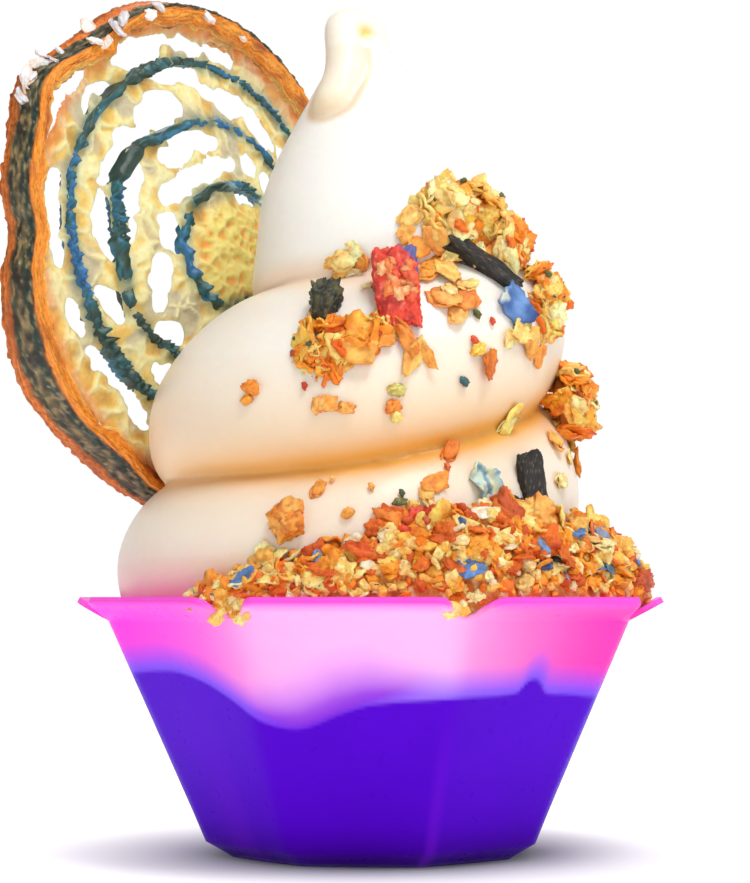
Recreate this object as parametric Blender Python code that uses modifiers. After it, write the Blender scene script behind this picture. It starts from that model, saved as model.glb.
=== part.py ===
"""A frozen yogurt cup: a piped swirl over a berry layer in an eight-sided plastic cup,
with a round pastry crisp pushed in behind it, and crushed pastry and dried petals on top.

Metres, +Z up. The origin is the middle of the cup's foot. The -Y side is the front."""

import math
import random

import bmesh
import bpy
from mathutils import Matrix, Vector, noise

MM = 0.001
TURN = 2 * math.pi
GAP = 0.3 * MM

# The cup's eight-sided wall: an apothem is the distance from the axis to a face.
CUP_SIDES = 8
CUP_FRONT = math.radians(264.7)
FOOT_APOTHEM = 23.2 * MM
HEEL_APOTHEM = 26.8 * MM
HEEL_Z = 2.6 * MM
WALL_TOP_APOTHEM = 42.0 * MM
WALL_TOP_Z = 38.4 * MM
LIP_APOTHEM = 47.5 * MM
RIM_Z = 41.4 * MM
CUP_WALL = 0.9 * MM
CORNER_SHARPNESS = 60
NOTCH_HALF_WIDTH = math.radians(6.2)
NOTCH_FLOOR = 0.1
CORNER_STEPS = (3.0, 6.2, 9.0, 14.0, 22.5)
# Contents that rise above the rim stand this far inside the lip's edge, and are cut off
# nowhere below this height.
INSIDE_LIP = 2.3 * MM
OVER_LIP = 0.6 * MM
ROOM_TOP_Z = 200 * MM

# The berry layer's surface where it meets the wall: a mean height, with swells and dips.
BERRY_Z = 25.4 * MM
BERRY_SWELLS = (
    # direction in degrees, half width in degrees, height
    (222, 24, 5.0 * MM),
    (252, 14, -3.4 * MM),
    (318, 9, 2.6 * MM),
    (40, 30, 2.0 * MM),
    (130, 26, -2.2 * MM),
)

# The swirl is one rope wound upwards. Each row is a place along it, in turns from the left:
# the crease under the rope (height, radius), then how far its side stands out from the
# crease below and from the crease above, and the height of those two shoulders.
ROPE_KEYS = (
    (-1.5, 33.0, 37.0, 4.0, 8.0, 4.0, 4.0),
    (-0.5, 33.0, 37.0, 5.0, 9.6, 7.0, 5.0),
    (-0.25, 36.5, 34.0, 6.0, 10.0, 5.0, 5.0),
    (0.0, 45.0, 32.0, 8.0, 11.0, 5.0, 6.0),
    (0.25, 53.0, 31.0, 8.0, 11.0, 4.5, 6.0),
    (0.5, 60.5, 30.2, 7.6, 15.0, 3.8, 4.6),
    (0.75, 62.6, 30.6, 7.0, 14.0, 4.0, 6.0),
    (1.0, 75.0, 29.4, 6.0, 10.5, 4.0, 8.0),
    (1.25, 84.0, 26.5, 6.5, 7.5, 4.0, 10.0),
    (1.5, 91.8, 21.4, 9.0, 9.0, 5.5, 7.0),
    (1.75, 94.4, 21.2, 6.5, 9.0, 5.5, 7.0),
    (2.0, 104.0, 19.6, 2.6, 9.0, 4.0, 7.0),
    (2.25, 121.0, 13.0, -1.6, 8.0, 4.0, 6.0),
    (2.5, 140.8, 0.0, 0.0, 0.0, 0.0, 0.0),
)
ROPE_STEPS = 34
SIDE_STEPS = 7
FULL_ROPE_HEIGHT = 12 * MM
# Sideways place of the swirl's axis at a height.
AXIS_KEYS = (
    (33, 0.0),
    (42, -2.6),
    (50, -3.8),
    (62, -3.8),
    (76, -2.4),
    (90, 1.4),
    (99, 2.7),
    (108, 0.8),
    (118, -0.4),
    (132, -1.4),
    (141, -3.4),
)
# The yogurt's level surface under the swirl, which is a little domed.
FILL_TOP_Z = 38.0 * MM
FILL_CROWN_APOTHEM = 28.0 * MM
FILL_CROWN_Z = 39.4 * MM
CREAM_WAVER = 0.35 * MM

# The rope's end, folded over and hanging down the left front of the peak: place and radius.
TONGUE_KEYS = (
    (-2.6, 0.0, 138.2, 2.7),
    (-5.2, -0.6, 138.4, 3.0),
    (-6.2, -2.8, 134.6, 2.8),
    (-5.8, -6.2, 129.6, 3.0),
    (-6.4, -8.6, 125.6, 3.1),
)
TONGUE_STEPS = 13

# The crisp: a thin slice of a rolled pastry, baked until the crumb opens into lace.
CRISP_CENTRE = (-31.4 * MM, 16.2 * MM, 101.8 * MM)
CRISP_TURN = math.radians(53.4)
CRISP_LEAN = math.radians(1)
CRISP_RADIUS = 44.4 * MM
CRUST_WAVES = (
    # direction in degrees, half width in degrees, swell of the rim, swell of its thickness
    (148, 9, 2.4 * MM, 0.0),
    (127, 12, -0.9 * MM, 0.0),
    (181, 7, -2.4 * MM, -0.1),
    (212, 14, 1.2 * MM, 0.3),
    (238, 9, -0.9 * MM, 0.3),
    (300, 20, 0.8 * MM, 0.1),
    (20, 18, -0.8 * MM, -0.1),
)
CRUST_PROFILE = (
    # out from the crisp's radius, towards the front
    (0.3, -3.8),
    (0.4, -1.3),
    (-0.5, 2.4),
    (-1.7, 3.3),
    (-4.8, 2.7),
    (-5.7, 0.8),
    (-5.1, -1.7),
    (-2.6, -3.5),
)
CRUST_MIDDLE = (-2.6, -0.3)
CRUST_STEPS = 48
CRISP_DISH = 4.4 * MM
COIL_SHIFT = 6.0 * MM
COIL_REACH = 34.0 * MM
# The coil winds outwards clockwise: turns from its right-hand side, and its radius in mm.
COIL_KEYS = (
    (0.15, 7.3),
    (0.30, 9.3),
    (0.44, 11.2),
    (0.56, 12.3),
    (0.74, 12.2),
    (0.87, 14.4),
    (1.00, 16.0),
    (1.17, 18.5),
    (1.35, 21.8),
    (1.41, 23.7),
    (1.50, 24.0),
    (1.57, 25.8),
    (1.67, 23.5),
    (1.79, 24.0),
    (2.00, 24.6),
    (2.17, 26.4),
    (2.34, 29.4),
    (2.45, 31.6),
    (2.56, 33.7),
    (2.68, 33.4),
    (2.83, 35.1),
    (2.92, 37.0),
)
COIL_FIRST, COIL_LAST = COIL_KEYS[0][0], COIL_KEYS[-1][0]
COIL_STEPS = 20
COIL_RADIUS = 1.35 * MM
LACE_THICK = 1.5 * MM
LACE_RINGS = (0.5, 7.0, 14.0, 21.0, 28.0, 34.0, 39.6)
LACE_SIDES = 32
HEART_RADIUS = 9.2 * MM
HEART_HALF_THICK = 2.3 * MM
SLOT_GAP = 0.45 * MM

# Burst bubbles in the lace, in rows between the turns of the coil.
HOLES_FIRST, HOLES_LAST = 0.3, 2.75
HOLE_LENGTHS = (6.0 * MM, 11.5 * MM)
HOLE_WIDEST = 6.4 * MM
HOLE_NARROWEST = 1.6 * MM
WEB_ALONG_COIL = 1.5 * MM
WEB_BETWEEN_HOLES = 1.7 * MM
WEB_BY_CRUST = 6.2 * MM

# Toppings that lie on the swirl as pieces of their own. Their places are turns along the
# rope and a share of the way up its side; the sizes are across, up and out. A piece with a
# lift below nothing is pressed into the swirl.
PIECES = (
    # name, turns, share, size in mm, spin in degrees, how upright, lift in mm
    ("red_fruit_piece", 0.762, 0.80, (6.6, 13.0, 4.6), 5, 0.75, -1.0),
    ("dark_crumb", 0.704, 0.77, (5.6, 7.4, 4.2), -12, 0.5, -0.9),
    ("dark_strip", 0.852, 0.93, (13.2, 3.6, 3.2), -36, 0.6, -1.2),
    ("blue_petal", 0.868, 0.69, (7.6, 5.4, 1.5), -34, 0.5, -0.5),
    ("black_sheet", -0.112, 0.64, (5.6, 10.6, 1.5), 4, 0.8, -0.7),
    ("pale_petal", -0.156, 0.69, (4.8, 6.8, 1.6), 10, 0.7, -0.4),
    ("pastry_nugget", -0.288, 0.65, (7.0, 6.4, 4.2), 0, 0.4, -1.0),
)
LUMP_PIECES = ("dark_crumb", "dark_strip", "pastry_nugget")
PIECE_GAP = 0.5 * MM
# Lumps of broken pastry on the swirl: the middle and the half sizes of each lump.
CLUSTERS = {
    "flakes_on_peak": (
        ((13.8, -17.2, 103.8), (8.6, 5.2, 8.2)),
        ((19.4, -15.4, 98.0), (5.0, 5.2, 7.2)),
    ),
    "flakes_on_front": (
        ((-7.5, -30.6, 80.0), (5.6, 4.0, 6.6)),
        ((-1.8, -30.0, 84.0), (6.0, 3.6, 4.4)),
    ),
    "flakes_on_edge": (((26.9, -13.8, 89.6), (3.8, 4.6, 6.8)),),
    "flakes_on_side": (((32.0, -4.0, 74.6), (4.4, 5.2, 6.4)),),
}
CLUSTER_FLAKES = 9
CLUSTER_FLAKE_LENGTHS = (5.0 * MM, 9.0 * MM)
# Small flakes fused to the swirl: turns, share of the way up, length in mm.
BITS = (
    (1.700, 0.09, 7.5),
    (0.672, 0.44, 3.0),
    (0.730, 0.36, 4.0),
    (0.743, 0.33, 2.6),
    (0.784, 0.38, 3.4),
    (0.828, 0.38, 2.4),
    (0.788, 0.51, 8.0),
    (0.849, 0.44, 5.0),
    (0.818, 0.72, 8.0),
    (0.880, 0.55, 6.0),
    (0.905, 0.42, 3.6),
    (0.889, 0.09, 7.0),
    (0.798, 0.24, 2.6),
    (-0.271, 0.82, 3.4),
    (-0.251, 0.67, 2.4),
    (-0.217, 0.69, 3.0),
    (-0.173, 0.90, 3.6),
    (-0.189, 0.72, 3.6),
    (-0.305, 0.51, 3.8),
    (-0.060, 0.80, 4.0),
    (-0.020, 0.66, 4.4),
    (0.020, 0.80, 4.0),
)

# The heap of crushed pastry between the swirl and the rim.
HEAP_CREST = (
    # direction in degrees, height of the crest above the rim
    (230, 1.0),
    (238, 3.4),
    (250, 7.2),
    (264, 10.0),
    (278, 12.6),
    (292, 14.0),
    (306, 15.2),
    (318, 14.0),
    (332, 12.0),
    (346, 9.6),
    (360, 7.8),
    (378, 4.8),
    (398, 1.0),
)
# Its cross-section: a share of the way out, the apothem, and the share of the crest's rise.
HEAP_SECTION = (
    (0.0, 31.0, 0.90),
    (0.25, 35.5, 1.0),
    (0.5, 40.2, 0.86),
    (0.75, 43.4, 0.55),
    (1.0, 45.6, 0.10),
)
HEAP_FOOT_Z = 42.0 * MM
HEAP_UNDERSIDE = (44.6 * MM, 31.0 * MM)
HEAP_UNDERSIDE_Z = 39.6 * MM
HEAP_CORE_INSET = 1.1 * MM
HEAP_STEPS = 26
HEAP_CHUNKS = 64
HEAP_CHUNK_LENGTHS = (3.6 * MM, 7.4 * MM)

# Shares of the triangles that fusing leaves in these pieces and that are kept.
CRISP_KEPT = 0.62
CLUSTER_KEPT = 0.52
HEAP_KEPT = 0.60

# Many pieces fused at once stay closed under this solver only.
FOOD_SOLVER = "MANIFOLD"

OBJECT_COLLECTION = "frozen_yogurt_cup"
TOOL_COLLECTION = "cutters"


def empty_scene():
    for thing in list(bpy.data.objects):
        bpy.data.objects.remove(thing, do_unlink=True)


def collection(name):
    made = bpy.data.collections.new(name)
    bpy.context.scene.collection.children.link(made)
    return made


def material(name, colour, roughness, alpha=1.0):
    made = bpy.data.materials.new(name)
    made.use_nodes = True
    shader = made.node_tree.nodes["Principled BSDF"]
    shader.inputs["Base Color"].default_value = (*colour, 1)
    shader.inputs["Roughness"].default_value = roughness
    shader.inputs["Alpha"].default_value = alpha
    return made


def to_object(name, bm, home, finish=None, smooth_angle=40):
    """The bmesh as a new object, smooth apart from its sharp edges."""
    mesh = bpy.data.meshes.new(name)
    bm.to_mesh(mesh)
    bm.free()
    mesh.shade_smooth()
    mesh.set_sharp_from_angle(angle=math.radians(smooth_angle))
    made = bpy.data.objects.new(name, mesh)
    home.objects.link(made)
    if finish:
        mesh.materials.append(finish)
    if home.name == TOOL_COLLECTION:
        made.hide_render = True
        made.display_type = "WIRE"
    return made


def follow(keys, place):
    """Every column of the keyed rows at a place, on a smooth curve through the rows."""
    last = len(keys) - 1
    if place <= keys[0][0]:
        return keys[0][1:]
    if place >= keys[last][0]:
        return keys[last][1:]
    at = max(i for i in range(last) if keys[i][0] <= place)
    rows = [keys[max(0, min(last, at + step))] for step in (-1, 0, 1, 2)]
    span = rows[2][0] - rows[1][0]
    t = (place - rows[1][0]) / span
    found = []
    for column in range(1, len(keys[0])):
        before, low, high, after = (row[column] for row in rows)
        slope_low = (high - before) / max(rows[2][0] - rows[0][0], 1e-6) * span
        slope_high = (after - low) / max(rows[3][0] - rows[1][0], 1e-6) * span
        found.append(
            low * (2 * t**3 - 3 * t**2 + 1)
            + slope_low * (t**3 - 2 * t**2 + t)
            + high * (3 * t**2 - 2 * t**3)
            + slope_high * (t**3 - t**2)
        )
    return found


def apply_modifiers(thing):
    """Replaces the object's mesh by what its modifiers make of it."""
    bpy.context.view_layer.update()
    graph = bpy.context.evaluated_depsgraph_get()
    mesh = bpy.data.meshes.new_from_object(thing.evaluated_get(graph))
    thing.modifiers.clear()
    thing.data = mesh


def mesh_of_curve(curve_object, home):
    """A closed mesh object in the place of a curve object, which is removed."""
    bpy.context.view_layer.update()
    graph = bpy.context.evaluated_depsgraph_get()
    mesh = bpy.data.meshes.new_from_object(curve_object.evaluated_get(graph))
    bm = bmesh.new()
    bm.from_mesh(mesh)
    bmesh.ops.remove_doubles(bm, verts=bm.verts, dist=1e-6)
    bmesh.ops.recalc_face_normals(bm, faces=bm.faces)
    bmesh.ops.transform(bm, matrix=curve_object.matrix_world, verts=bm.verts)
    name = curve_object.name
    bpy.data.objects.remove(curve_object)
    bpy.data.meshes.remove(mesh)
    return to_object(name, bm, home)


def join_by(thing, others, operation):
    """Unites the object with the others, or cuts them from it, and removes them."""
    held = bpy.data.collections.new("operands")
    for other in others:
        held.objects.link(other)
    change = thing.modifiers.new(operation.lower(), "BOOLEAN")
    change.operation = operation
    change.operand_type = "COLLECTION"
    change.collection = held
    change.solver = FOOD_SOLVER
    apply_modifiers(thing)
    for other in others:
        bpy.data.objects.remove(other, do_unlink=True)
    bpy.data.collections.remove(held)


def swollen(thing, by, home):
    """A copy of the object with its surface moved outwards."""
    bm = bmesh.new()
    bm.from_mesh(thing.data)
    bmesh.ops.transform(bm, matrix=thing.matrix_world, verts=bm.verts)
    bm.normal_update()
    moves = [vert.normal * by for vert in bm.verts]
    for vert, move in zip(bm.verts, moves):
        vert.co += move
    return to_object(thing.name + "_swollen", bm, home)


def merge_slivers(bm, shortest):
    """Closes up the shortest edges, wherever the surface stays closed without them."""
    for _ in range(6):
        merged = set()
        for edge in [edge for edge in bm.edges if edge.calc_length() < shortest]:
            if not edge.is_valid or edge.verts[0] in merged or edge.verts[1] in merged:
                continue
            one, two = edge.verts
            near_one = {other.other_vert(one) for other in one.link_edges}
            near_two = {other.other_vert(two) for other in two.link_edges}
            if len(near_one & near_two) != 2 or min(len(near_one), len(near_two)) < 4:
                continue
            merged |= near_one | near_two
            bmesh.ops.pointmerge(bm, verts=[one, two], merge_co=two.co.copy())
        if not merged:
            break


def without_slivers(thing, shortest):
    bm = bmesh.new()
    bm.from_mesh(thing.data)
    bmesh.ops.triangulate(bm, faces=bm.faces)
    merge_slivers(bm, shortest)
    bm.to_mesh(thing.data)
    bm.free()


def keep_largest_piece(thing):
    """Drops the loose scraps that a cut has left."""
    bm = bmesh.new()
    bm.from_mesh(thing.data)
    left = set(bm.verts)
    pieces = []
    while left:
        piece, front = set(), [left.pop()]
        while front:
            vert = front.pop()
            piece.add(vert)
            for edge in vert.link_edges:
                other = edge.other_vert(vert)
                if other in left:
                    left.remove(other)
                    front.append(other)
        pieces.append(piece)
    largest = max(pieces, key=len)
    scraps = [vert for piece in pieces if piece is not largest for vert in piece]
    bmesh.ops.delete(bm, geom=scraps, context="VERTS")
    bm.to_mesh(thing.data)
    bm.free()


def tidy_solid(thing, share=1.0, shortest=0.03 * MM):
    """Drops slivers and scraps, and thins out the triangles to a share."""
    without_slivers(thing, shortest)
    if share < 1.0:
        thin = thing.modifiers.new("thin", "DECIMATE")
        thin.ratio = share
        thin.use_collapse_triangulate = True
        apply_modifiers(thing)
        without_slivers(thing, shortest)
    keep_largest_piece(thing)


def eight_sided(apothem, direction):
    """Distance from the axis to the rounded eight-sided outline."""
    reach = 0.0
    for side in range(CUP_SIDES):
        facing = math.cos(direction - CUP_FRONT - side * TURN / CUP_SIDES)
        reach += max(facing, 0.0) ** CORNER_SHARPNESS
    return apothem / reach ** (1 / CORNER_SHARPNESS)


def cup_directions():
    """Directions round the cup, closest together at the corners."""
    found = []
    for side in range(CUP_SIDES):
        corner = CUP_FRONT + (side + 0.5) * TURN / CUP_SIDES
        found += [corner - math.radians(step) for step in reversed(CORNER_STEPS[:-1])]
        found.append(corner)
        found += [corner + math.radians(step) for step in CORNER_STEPS]
    return found


def lip_share(direction):
    """How much of the flared lip is left here: less at the notch in each corner."""
    sector = TURN / CUP_SIDES
    off_corner = abs((direction - CUP_FRONT) % sector - sector / 2)
    rise = min(1.0, off_corner / NOTCH_HALF_WIDTH)
    eased = rise - 0.12 * math.sin(TURN * rise)
    return NOTCH_FLOOR + (1 - NOTCH_FLOOR) * eased


def wall_apothem(z):
    share = (z - HEEL_Z) / (WALL_TOP_Z - HEEL_Z)
    return HEEL_APOTHEM + share * (WALL_TOP_APOTHEM - HEEL_APOTHEM)


def inside_apothem(z, clear=GAP):
    """The inner face of the wall at a height, less a clearance."""
    rise = WALL_TOP_Z - HEEL_Z
    slant = math.hypot(rise, WALL_TOP_APOTHEM - HEEL_APOTHEM) / rise
    return wall_apothem(z) - (CUP_WALL + clear) * slant


def polar(radius, direction, z):
    return Vector((radius * math.cos(direction), radius * math.sin(direction), z))


def lofted(directions, levels, cap_top=True):
    """A bmesh that rises through levels, each a function from a direction to a point."""
    bm = bmesh.new()
    ring = bmesh.ops.create_circle(bm, cap_ends=True, segments=len(directions), radius=1)["verts"]
    bm.faces.ensure_lookup_table()
    if bm.faces[0].normal.z > 0:
        bmesh.ops.reverse_faces(bm, faces=bm.faces)
    for number, level in enumerate(levels):
        if number:
            edges = [edge for edge in bm.edges if edge.is_boundary] if number > 1 else bm.edges[:]
            made = bmesh.ops.extrude_edge_only(bm, edges=edges)["geom"]
            above = [part for part in made if isinstance(part, bmesh.types.BMVert)]
            order = {tuple(vert.co): at for at, vert in enumerate(ring)}
            ring = sorted(above, key=lambda vert: order[tuple(vert.co)])
        for vert, direction in zip(ring, directions):
            vert.co = level(direction)
    if cap_top:
        bm.faces.new(ring)
    bmesh.ops.recalc_face_normals(bm, faces=bm.faces)
    return bm


def level_ring(apothem, z):
    """A level of the eight-sided outline, as a function from a direction to a point."""
    return lambda direction: polar(eight_sided(apothem, direction), direction, z)


def lip_edge(direction):
    """The flared lip's outer edge, which dips towards the wall at each notch."""
    risen = lip_share(direction)
    apothem = WALL_TOP_APOTHEM + risen * (LIP_APOTHEM - WALL_TOP_APOTHEM)
    z = WALL_TOP_Z + risen * (RIM_Z - WALL_TOP_Z)
    return polar(eight_sided(apothem, direction), direction, z)


def make_cup(home, finish):
    levels = [
        level_ring(FOOT_APOTHEM, 0),
        level_ring(HEEL_APOTHEM, HEEL_Z),
        level_ring(WALL_TOP_APOTHEM, WALL_TOP_Z),
        lip_edge,
    ]
    bm = lofted(cup_directions(), levels, cap_top=False)
    foot = min(bm.faces, key=lambda face: face.calc_center_median().z)
    if foot.normal.z > 0:
        bmesh.ops.reverse_faces(bm, faces=bm.faces)
    cup = to_object("cup", bm, home, finish)
    wall = cup.modifiers.new("wall", "SOLIDIFY")
    wall.thickness = CUP_WALL
    wall.offset = -1
    wall.use_even_offset = True
    apply_modifiers(cup)
    return cup


def make_room(home):
    """The space that the cup leaves for its contents, carried on above the rim."""
    levels = [
        level_ring(FOOT_APOTHEM - 2 * GAP, CUP_WALL + GAP),
        level_ring(inside_apothem(HEEL_Z + CUP_WALL), HEEL_Z + CUP_WALL + GAP),
        level_ring(inside_apothem(WALL_TOP_Z + GAP), WALL_TOP_Z + 2 * GAP),
        level_ring(LIP_APOTHEM - INSIDE_LIP, RIM_Z + 0.5 * MM),
        level_ring(LIP_APOTHEM - OVER_LIP, RIM_Z + 1.3 * MM),
        level_ring(LIP_APOTHEM, ROOM_TOP_Z),
    ]
    return to_object("room", lofted(cup_directions()[::2], levels), home)


def berry_height(direction, share=1.0):
    """Height of the berry layer at a share of the way out to the wall."""
    height = 0.0
    for centre, half_width, swell in BERRY_SWELLS:
        off = (math.degrees(direction) - centre + 180) % 360 - 180
        height += swell * math.exp(-((off / half_width) ** 2))
    return BERRY_Z + height * share * share


def berry_surface(lift):
    """Levels from the wall to the middle of the berry layer's surface, raised by lift."""

    def level(share):
        def point(direction):
            z = berry_height(direction, share) + lift
            reach = eight_sided(inside_apothem(z), direction)
            return polar(reach * share, direction, z)

        return point

    return [level(share) for share in (1.0, 0.75, 0.45, 0.12)]


def make_berry_layer(home, finish):
    foot = [
        level_ring(FOOT_APOTHEM - 0.5 * MM, CUP_WALL + GAP + 0.1 * MM),
        level_ring(inside_apothem(HEEL_Z + 1.2 * MM), HEEL_Z + 1.2 * MM),
    ]
    bm = lofted(cup_directions()[::2], foot + berry_surface(0))
    return to_object("berry_layer", bm, home, finish)


def axis_shift(z):
    return follow(AXIS_KEYS, z / MM)[0] * MM


def rope_point(turns, share):
    """A point on the swirl: turns along the rope, and a share of the way up its side."""
    low_z, low_r, out_low, out_high, up_low, up_high = follow(ROPE_KEYS, turns)
    high_z, high_r = follow(ROPE_KEYS, min(turns + 1, ROPE_KEYS[-1][0]))[:2]
    height = high_z - low_z
    full = max(0.0, min(1.0, height * MM / FULL_ROPE_HEIGHT))
    corners = (
        Vector((low_r, low_z)),
        Vector((low_r + out_low * full, low_z + up_low * full)),
        Vector((high_r + out_high * full, high_z - up_high * full)),
        Vector((high_r, high_z)),
    )
    weights = (
        (1 - share) ** 3,
        3 * share * (1 - share) ** 2,
        3 * share**2 * (1 - share),
        share**3,
    )
    radius, z = sum((w * c for w, c in zip(weights, corners)), Vector((0, 0)))
    direction = TURN * turns
    z *= MM
    radius *= MM
    point = polar(radius, direction, z)
    waver = noise.noise(point * 45) + 0.5 * noise.noise(point * 110)
    point += polar(1, direction, 0) * waver * CREAM_WAVER * min(1, radius / (10 * MM))
    point.x += axis_shift(z)
    return point


def swirl_bmesh():
    """The rope's skin as one strip, whose edges meet where a turn lies on the turn below."""
    first, last = ROPE_KEYS[0][0], ROPE_KEYS[-1][0]
    bm = bmesh.new()
    steps = round((last - first) * ROPE_STEPS)
    bmesh.ops.create_grid(bm, x_segments=steps, y_segments=SIDE_STEPS, size=0.5)
    for vert in bm.verts:
        turns = first + (vert.co.x + 0.5) * (last - first)
        vert.co = rope_point(turns, vert.co.y + 0.5)
    bmesh.ops.remove_doubles(bm, verts=bm.verts, dist=0.05 * MM)
    rim = [edge for edge in bm.edges if edge.is_boundary]
    bmesh.ops.holes_fill(bm, edges=rim, sides=0)
    bmesh.ops.dissolve_degenerate(bm, edges=bm.edges, dist=0.02 * MM)
    bmesh.ops.recalc_face_normals(bm, faces=bm.faces)
    return bm


def tube(name, keys, home, sides):
    """A round tube through points with a radius each, as a closed mesh."""
    curve = bpy.data.curves.new(name, "CURVE")
    curve.dimensions = "3D"
    curve.bevel_depth = 1.0 * MM
    curve.bevel_resolution = sides
    curve.use_fill_caps = True
    spline = curve.splines.new("POLY")
    spline.points.add(len(keys) - 1)
    for point, (x, y, z, radius) in zip(spline.points, keys):
        point.co = (x, y, z, 1)
        point.radius = radius / MM
    made = bpy.data.objects.new(name, curve)
    home.objects.link(made)
    return mesh_of_curve(made, home)


def make_tongue(home):
    rows = [(number, *key) for number, key in enumerate(TONGUE_KEYS)]
    keys = []
    for step in range(TONGUE_STEPS + 1):
        share = step / TONGUE_STEPS
        x, y, z, radius = (value * MM for value in follow(rows, share * rows[-1][0]))
        end = max(0.0, (share - 0.8) / 0.2)
        keys.append((x, y, z, radius * math.sqrt(max(0.08, 1 - end**2))))
    return tube("tongue", keys, home, sides=2)


def make_yogurt(home, tools, finish):
    foot = list(reversed(berry_surface(GAP)))
    top = [
        level_ring(inside_apothem(FILL_TOP_Z), FILL_TOP_Z),
        level_ring(FILL_CROWN_APOTHEM, FILL_CROWN_Z),
    ]
    yogurt = to_object("yogurt", lofted(cup_directions()[::2], foot + top), home, finish)
    swirl = to_object("swirl", swirl_bmesh(), tools)
    join_by(yogurt, [swirl, make_tongue(tools)], "UNION")
    return yogurt


def crisp_matrix():
    across = Vector((math.cos(CRISP_TURN), math.sin(CRISP_TURN), 0))
    front = Vector((math.sin(CRISP_TURN), -math.cos(CRISP_TURN), 0))
    turned = Matrix((across, Vector((0, 0, 1)), front)).transposed().to_4x4()
    return Matrix.Translation(CRISP_CENTRE) @ turned @ Matrix.Rotation(-CRISP_LEAN, 4, "X")


def coil_radius(turns):
    return follow(COIL_KEYS, turns)[0] * MM


def crisp_point(radius, direction, forward=0.0):
    """A point of the crisp: the coil's middle lies forward and to the right."""
    inward = max(0.0, 1 - radius / COIL_REACH)
    across = radius * math.cos(direction) + COIL_SHIFT * inward
    dish = CRISP_DISH * inward * (2 - inward)
    return Vector((across, radius * math.sin(direction), dish + forward))


def crust_swell(direction):
    """How much wider and thicker the crust is in a direction."""
    wide, thick = 0.0, 1.0
    for centre, half_width, swell, thicker in CRUST_WAVES:
        off = (math.degrees(direction) - centre + 180) % 360 - 180
        weight = math.exp(-((off / half_width) ** 2))
        wide += swell * weight
        thick += thicker * weight
    return wide, thick


def wrapped(columns, rows, place, open_ends):
    """A grid that place bends into a band, joined where its edges meet, with ends filled."""
    bm = bmesh.new()
    bmesh.ops.create_grid(bm, x_segments=columns, y_segments=rows, size=0.5)
    for vert in bm.verts:
        vert.co = place(vert.co.x + 0.5, vert.co.y + 0.5)
    bmesh.ops.remove_doubles(bm, verts=bm.verts, dist=0.01 * MM)
    if open_ends:
        bmesh.ops.holes_fill(bm, edges=[edge for edge in bm.edges if edge.is_boundary], sides=0)
    bmesh.ops.recalc_face_normals(bm, faces=bm.faces)
    return bm


def crust_band(home, extra=0.0):
    """The crust: its profile carried once round the crisp."""
    count = len(CRUST_PROFILE)
    middle = Vector(CRUST_MIDDLE)

    def place(round_share, profile_share):
        direction = TURN * round_share
        wide, thick = crust_swell(direction)
        out = Vector(CRUST_PROFILE[round(profile_share * count) % count])
        out += (out - middle).normalized() * extra / MM
        flaky = noise.noise(Vector((math.cos(direction) * 6, math.sin(direction) * 6, out.y)))
        radius = CRISP_RADIUS + wide + (out.x + 0.35 * flaky) * MM
        return crisp_point(radius, direction, out.y * thick * MM)

    return to_object("crust", wrapped(CRUST_STEPS, count, place, open_ends=False), home)


def lace_plate(home, thick):
    """The thin dished web inside the crust, still without its holes."""
    last = len(LACE_RINGS) - 1
    bm = bmesh.new()
    bmesh.ops.create_grid(bm, x_segments=LACE_SIDES, y_segments=last, size=0.5)
    for vert in bm.verts:
        ring = LACE_RINGS[round((vert.co.y + 0.5) * last)]
        direction = TURN * (vert.co.x + 0.5)
        vert.co = crisp_point(ring * MM, direction, -thick / 2)
    bmesh.ops.remove_doubles(bm, verts=bm.verts, dist=0.01 * MM)
    middle = CRISP_RADIUS / 2
    rims = [edge for edge in bm.edges if edge.is_boundary]
    eye = [edge for edge in rims if edge.verts[0].co.xy.length < middle]
    bmesh.ops.holes_fill(bm, edges=eye, sides=0)
    bmesh.ops.recalc_face_normals(bm, faces=bm.faces)
    bmesh.ops.solidify(bm, geom=bm.faces[:], thickness=thick)
    bmesh.ops.recalc_face_normals(bm, faces=bm.faces)
    return to_object("lace", bm, home)


def lace_holes(home, rng):
    """Cutters for the bubbles that burst between the turns of the coil."""
    cutters = []
    turns = HOLES_FIRST
    while turns < HOLES_LAST:
        inner = coil_radius(turns) + WEB_ALONG_COIL
        outer = CRISP_RADIUS - WEB_BY_CRUST
        if turns + 1 < COIL_LAST:
            outer = coil_radius(turns + 1) - WEB_ALONG_COIL
        length = rng.uniform(*HOLE_LENGTHS)
        width = min(HOLE_WIDEST, outer - inner) * rng.uniform(0.72, 0.95)
        radius = (inner + outer) / 2
        turns += (length / 2 + WEB_BETWEEN_HOLES) / (TURN * radius)
        direction = -TURN * turns
        if width > HOLE_NARROWEST and rng.random() > 0.1:
            bm = bmesh.new()
            bmesh.ops.create_cone(
                bm, cap_ends=True, segments=8, radius1=0.5, radius2=0.5, depth=16 * MM
            )
            for vert in bm.verts:
                ragged = 1 + 0.16 * noise.noise(Vector((vert.co.x * 3, vert.co.y * 3, turns * 9)))
                vert.co.x *= width * ragged
                vert.co.y *= length * ragged
            spin = Matrix.Rotation(direction, 4, "Z")
            middle = Matrix.Translation(crisp_point(radius, direction))
            bmesh.ops.transform(bm, matrix=middle @ spin, verts=bm.verts)
            cutters.append(to_object("burst_bubble", bm, home))
        turns += (length / 2 + WEB_BETWEEN_HOLES) / (TURN * radius)
    return cutters


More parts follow.
